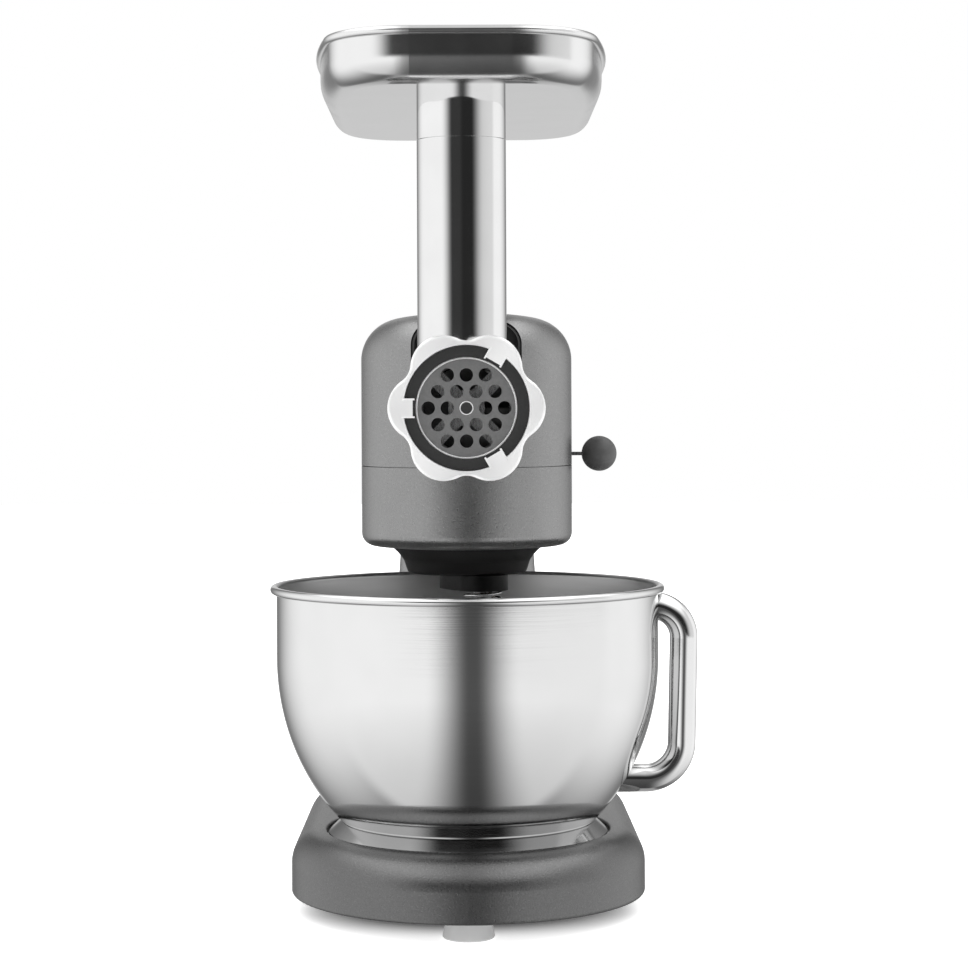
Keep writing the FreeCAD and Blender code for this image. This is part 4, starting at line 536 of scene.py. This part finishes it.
def make_floor():
    """Pale studio paper, lit all over, with a painted shadow under the base where its glow drops."""
    mesh = bpy.data.meshes.new("studio_floor")
    form = bmesh.new()
    bmesh.ops.create_grid(form, x_segments=1, y_segments=1, size=FLOOR_HALF)
    form.to_mesh(mesh)
    form.free()
    floor = bpy.data.objects.new("studio_floor", mesh)
    bpy.context.scene.collection.objects.link(floor)
    floor.visible_glossy = False
    material, tree, place = new_material("studio_paper_with_painted_shadow")
    tone = add(tree, "ShaderNodeTexNoise", {}, {
        "Vector": place, "Scale": per_metre(400.0), "Detail": 1.0}).outputs["Fac"]
    colour = add(tree, "ShaderNodeMix", {"data_type": "RGBA"}, {
        0: tone, 6: linear("#fafafa"), 7: linear("#ffffff")}).outputs[2]
    axes = add(tree, "ShaderNodeSeparateXYZ", {}, {"Vector": place}).outputs
    # Painted shadow: the glow falls from FLOOR_GLOW to SHADOW_GLOW inside an oval round the base's
    # footprint.
    across = add(tree, "ShaderNodeMath", {"operation": "DIVIDE"}, {
        0: axes["X"], 1: SHADOW_HALF_WIDTH}).outputs[0]
    along = add(tree, "ShaderNodeMath", {"operation": "SUBTRACT"}, {
        0: axes["Y"], 1: SHADOW_MIDDLE_Y}).outputs[0]
    reach = add(tree, "ShaderNodeMath", {"operation": "ABSOLUTE"}, {0: along}).outputs[0]
    past = add(tree, "ShaderNodeMath", {"operation": "SUBTRACT"}, {
        0: reach, 1: SHADOW_STRAIGHT}).outputs[0]
    beyond = add(tree, "ShaderNodeMath", {"operation": "MAXIMUM"}, {0: past, 1: 0.0}).outputs[0]
    ends = add(tree, "ShaderNodeMath", {"operation": "DIVIDE"}, {0: beyond, 1: SHADOW_END}).outputs[0]
    spot = add(tree, "ShaderNodeCombineXYZ", {}, {"X": across, "Y": ends}).outputs["Vector"]
    out = add(tree, "ShaderNodeVectorMath", {"operation": "LENGTH"}, {0: spot}).outputs["Value"]
    glow = add(tree, "ShaderNodeMapRange", {"interpolation_type": "SMOOTHSTEP"}, {
        "Value": out, "From Min": SHADOW_EDGES[0], "From Max": SHADOW_EDGES[1], "To Min": SHADOW_GLOW,
        "To Max": FLOOR_GLOW}).outputs["Result"]
    finish_material(material, tree, {
        "Base Color": colour, "Roughness": 0.9, "IOR": 1.2, "Emission Color": linear("#ffffff"),
        "Emission Strength": glow})
    mesh.materials.append(material)


def make_surround():
    """White surround for the eye; polished metal mirrors a dark gap in front and two dark flags behind."""
    world = bpy.data.worlds.new("studio_surround")
    bpy.context.scene.world = world
    world.use_nodes = True
    tree = world.node_tree
    tree.nodes.clear()
    direction = add(tree, "ShaderNodeTexCoord", {}, {}).outputs["Generated"]
    axes = add(tree, "ShaderNodeSeparateXYZ", {}, {"Vector": direction}).outputs
    across = add(tree, "ShaderNodeMath", {"operation": "ABSOLUTE"}, {0: axes["X"]}).outputs[0]
    above = add(tree, "ShaderNodeMapRange", {}, {
        "Value": axes["Z"], "From Min": HORIZON_Z[0], "From Max": HORIZON_Z[1], "To Min": 0.0,
        "To Max": 1.0}).outputs["Result"]
    inner, outer, middle, darkest = [
        add(tree, "ShaderNodeMapRange", {}, {
            "Value": above, "From Min": 0.0, "From Max": 1.0, "To Min": low,
            "To Max": high}).outputs["Result"]
        for low, high in (GAP_INNER, GAP_OUTER, GAP_MIDDLE, GAP_LEVEL)]
    offset = add(tree, "ShaderNodeMath", {"operation": "SUBTRACT"}, {0: axes["X"], 1: middle}).outputs[0]
    side = add(tree, "ShaderNodeMath", {"operation": "ABSOLUTE"}, {0: offset}).outputs[0]
    gap = add(tree, "ShaderNodeMapRange", {"interpolation_type": "SMOOTHSTEP"}, {
        "Value": side, "From Min": inner, "From Max": outer, "To Min": darkest,
        "To Max": 1.0}).outputs["Result"]
    right, behind = [
        add(tree, "ShaderNodeMapRange", {"interpolation_type": "SMOOTHSTEP"}, {
            "Value": axes[axis], "From Min": -HALF_BLEND, "From Max": HALF_BLEND, "To Min": 0.0,
            "To Max": 1.0}).outputs["Result"]
        for axis in ("X", "Y")]
    right_fade = add(tree, "ShaderNodeMapRange", {}, {
        "Value": axes["X"], "From Min": RIGHT_FADE_X[0], "From Max": RIGHT_FADE_X[1],
        "To Min": RIGHT_FADE_LEVEL[0], "To Max": RIGHT_FADE_LEVEL[1]}).outputs["Result"]
    right_level = add(tree, "ShaderNodeMix", {"data_type": "FLOAT"}, {
        0: above, 2: RIGHT_LEVEL_BELOW, 3: right_fade}).outputs[0]
    sides = add(tree, "ShaderNodeMix", {"data_type": "FLOAT"}, {
        0: right, 2: LEFT_LEVEL, 3: right_level}).outputs[0]
    front = add(tree, "ShaderNodeMath", {"operation": "MULTIPLY"}, {0: gap, 1: sides}).outputs[0]
    flag = add(tree, "ShaderNodeMapRange", {"interpolation_type": "SMOOTHSTEP"}, {
        "Value": across, "From Min": FLAG_X[0], "From Max": FLAG_X[1], "To Min": FLAG_LEVEL[0],
        "To Max": FLAG_LEVEL[1]}).outputs["Result"]
    clear = add(tree, "ShaderNodeMapRange", {"interpolation_type": "SMOOTHSTEP"}, {
        "Value": across, "From Min": CLEAR_X[0], "From Max": CLEAR_X[1], "To Min": 0.0,
        "To Max": 1.0}).outputs["Result"]
    back = add(tree, "ShaderNodeMix", {"data_type": "FLOAT"}, {
        0: clear, 2: flag, 3: CLEAR_LEVEL}).outputs[0]
    round_about = add(tree, "ShaderNodeMix", {"data_type": "FLOAT"}, {
        0: behind, 2: front, 3: back}).outputs[0]
    below = add(tree, "ShaderNodeMapRange", {}, {
        "Value": axes["Z"], "From Min": BELOW_Z[0], "From Max": BELOW_Z[1], "To Min": BELOW_LEVEL[0],
        "To Max": BELOW_LEVEL[1]}).outputs["Result"]
    level = add(tree, "ShaderNodeMath", {"operation": "MULTIPLY"}, {0: round_about, 1: below}).outputs[0]
    lowest = add(tree, "ShaderNodeMapRange", {"interpolation_type": "SMOOTHSTEP"}, {
        "Value": axes["Y"], "From Min": SOFTBOX_Y[0], "From Max": SOFTBOX_Y[1],
        "To Min": SOFTBOX_LOWEST_Z[0], "To Max": SOFTBOX_LOWEST_Z[1]}).outputs["Result"]
    overhead = add(tree, "ShaderNodeMapRange", {"interpolation_type": "SMOOTHSTEP"}, {
        "Value": axes["Z"], "From Min": lowest, "From Max": SOFTBOX_FULL_Z, "To Min": 0.0,
        "To Max": 1.0}).outputs["Result"]
    softbox = add(tree, "ShaderNodeMapRange", {"interpolation_type": "SMOOTHSTEP"}, {
        "Value": across, "From Min": SOFTBOX_X[0], "From Max": SOFTBOX_X[1], "To Min": SOFTBOX_LEVEL[0],
        "To Max": SOFTBOX_LEVEL[1]}).outputs["Result"]
    shade = add(tree, "ShaderNodeMix", {"data_type": "FLOAT"}, {
        0: overhead, 2: level, 3: softbox}).outputs[0]
    seen = add(tree, "ShaderNodeLightPath", {}, {}).outputs["Is Camera Ray"]
    strength = add(tree, "ShaderNodeMix", {"data_type": "FLOAT"}, {0: seen, 2: shade, 3: 1.0}).outputs[0]
    shell = add(tree, "ShaderNodeBackground", {}, {"Color": linear("#ffffff"), "Strength": strength})
    add(tree, "ShaderNodeOutputWorld", {}, {"Surface": shell.outputs["Background"]})


def make_camera():
    """Camera in front, level with the hub, and plain colours for what it sees."""
    data = bpy.data.cameras.new("photo_camera")
    data.lens = CAMERA_LENS
    data.sensor_width = CAMERA_SENSOR
    data.shift_x = CAMERA_SHIFT_X
    data.shift_y = CAMERA_SHIFT_Y
    data.clip_end = CAMERA_REACH
    camera = bpy.data.objects.new("photo_camera", data)
    bpy.context.scene.collection.objects.link(camera)
    level = Matrix.Rotation(math.radians(90), 4, "X")
    roll = Matrix.Rotation(math.radians(CAMERA_ROLL), 4, "Z")
    camera.matrix_world = Matrix.Translation((0.0, CAMERA_Y, CAMERA_Z)) @ level @ roll
    bpy.context.scene.camera = camera
    bpy.context.scene.view_settings.view_transform = "Standard"


def dress_all():
    """Makes the finishes, gives every CAD node its own and adds the finer pieces."""
    paint = textured_paint("grey_powder_coat", "#858585", "#909090", "#646464", "#b4b4b4")
    # The base wears the same grey powder coat drawn darker: painted shade, for the low base that gets less
    # light.
    painted_shade_base_paint = textured_paint("grey_powder_coat_painted_shade_on_base", "#646464", "#6e6e6e", "#4d4d4d", "#888888")
    polished = polished_steel("polished_stainless_steel", 0.07, 0.1)
    pressed = pressed_tray_steel()
    tube = polished_steel("buffed_tube_steel", 0.07, 0.1)
    outside = spun_steel("buffed_stainless_steel", "#d4d4d4", "#dedede", 0.06, 0.11, 0.000006)
    inside = spun_steel("brushed_stainless_steel", "#c6c6c6", "#d2d2d2", 0.28, 0.4, 0.00003)
    turned = spun_steel("turned_stainless_steel", "#a4a4a4", "#b0b0b0", 0.08, 0.14, 0.000006)
    bright = turned_aluminium()
    # This near-black steel is the clamp ring's own colour, and on the stud's end it is painted shade.
    black_steel_and_painted_shade = tool_steel("oxide_black_steel_and_painted_shade", "#373737", "#434343", 0.42)
    plate_steel = tool_steel("ground_tool_steel", "#767676", "#868686", 0.4)
    auger_metal = tool_steel("sand_cast_aluminium", "#6e6e6e", "#828282", 0.5)
    black = moulded_plastic("black_nylon", "#141414", "#1b1b1b", 0.5)
    knob = moulded_plastic("dark_soft_touch_plastic", "#444444", "#4e4e4e", 0.45)
    rubber = moulded_plastic("grey_silicone_rubber", "#bebebe", "#cccccc", 0.5)
    belt = moulded_plastic("black_neoprene", "#1c1c1c", "#262626", 0.75)
    board = moulded_plastic("green_board_laminate", "#1d4a2c", "#275a36", 0.4)
    steel = machined_metal("ground_shaft_steel", "#b5b5b5", "#c4c4c4", 0.22)
    blade = machined_metal("ground_knife_steel", "#d0d0d0", "#dedede", 0.25)
    wire = machined_metal("drawn_spring_wire", "#e2e2e2", "#ececec", 0.2)
    gear = machined_metal("hobbed_gear_steel", "#8e8e8c", "#a2a2a0", 0.33)
    cast = machined_metal("machined_cast_aluminium", "#b0b0ae", "#c2c2c0", 0.42)
    carrier = machined_metal("die_cast_zinc", "#2a2a2a", "#333333", 0.4)
    bronze = machined_metal("sintered_bronze", "#9a7440", "#b08a52", 0.4)
    zinc = machined_metal("zinc_plated_steel", "#bdbdb6", "#cfcfc8", 0.3)
    iron = machined_metal("laminated_core_iron", "#55504b", "#6b645d", 0.5)
    dress(paint, "column_casting", "head_lower_housing", "head_upper_cover")
    dress(painted_shade_base_paint, "base_stand")
    dress(polished, "bowl_seat_plate", "grinder_body")
    dress(turned, "bowl_foot_ring")
    dress(pressed, "feed_tray")
    dress(tube, "bowl_handle")
    dress(bright, "ring_nut")
    dress(auger_metal, "feed_auger")
    dress(black_steel_and_painted_shade, "clamp_ring")
    dress(plate_steel, "grinding_plate")
    dress(blade, "cutting_knife")
    dress(black, "port_liner", "planetary_skirt", "base_cover", "speed_switch", "motor_fan", "cord_gland")
    dress(knob, "speed_knob", "release_button")
    dress(belt, "drive_belt", "head_rest_pad")
    dress(board, "control_board")
    dress(
        steel, "hinge_pin", "planetary_shaft", "layshaft", "motor_shaft", "hub_shaft", "beater_shaft",
        "beater_pin", "planetary_bearing", "layshaft_bearings", "motor_bearings", "speed_lever_arm")
    dress(
        gear, "main_gear", "drive_bevel_gear", "hub_bevel_gear", "planet_pinion", "layshaft_pinion",
        "ring_gear")
    dress(cast, "gearbox_plate", "hub_housing", "driven_pulley", "motor_pulley")
    dress(carrier, "planetary_carrier")
    dress(bronze, "hub_bush", "beater_bushes", "auger_bush")
    dress(zinc, "base_cover_screws", "seat_plate_screws", "cover_screws", "gear_bridge", "motor_can")
    dress(iron, "motor_stator", "rotor_core")
    make_bowl(outside, inside)
    make_feet(rubber)
    make_spring(wire)
    make_mouth_rings(bright)
    make_tab_walls(bright)
    make_painted_shade_stud_end(black_steel_and_painted_shade)


make_floor()
make_surround()
make_camera()
dress_all()
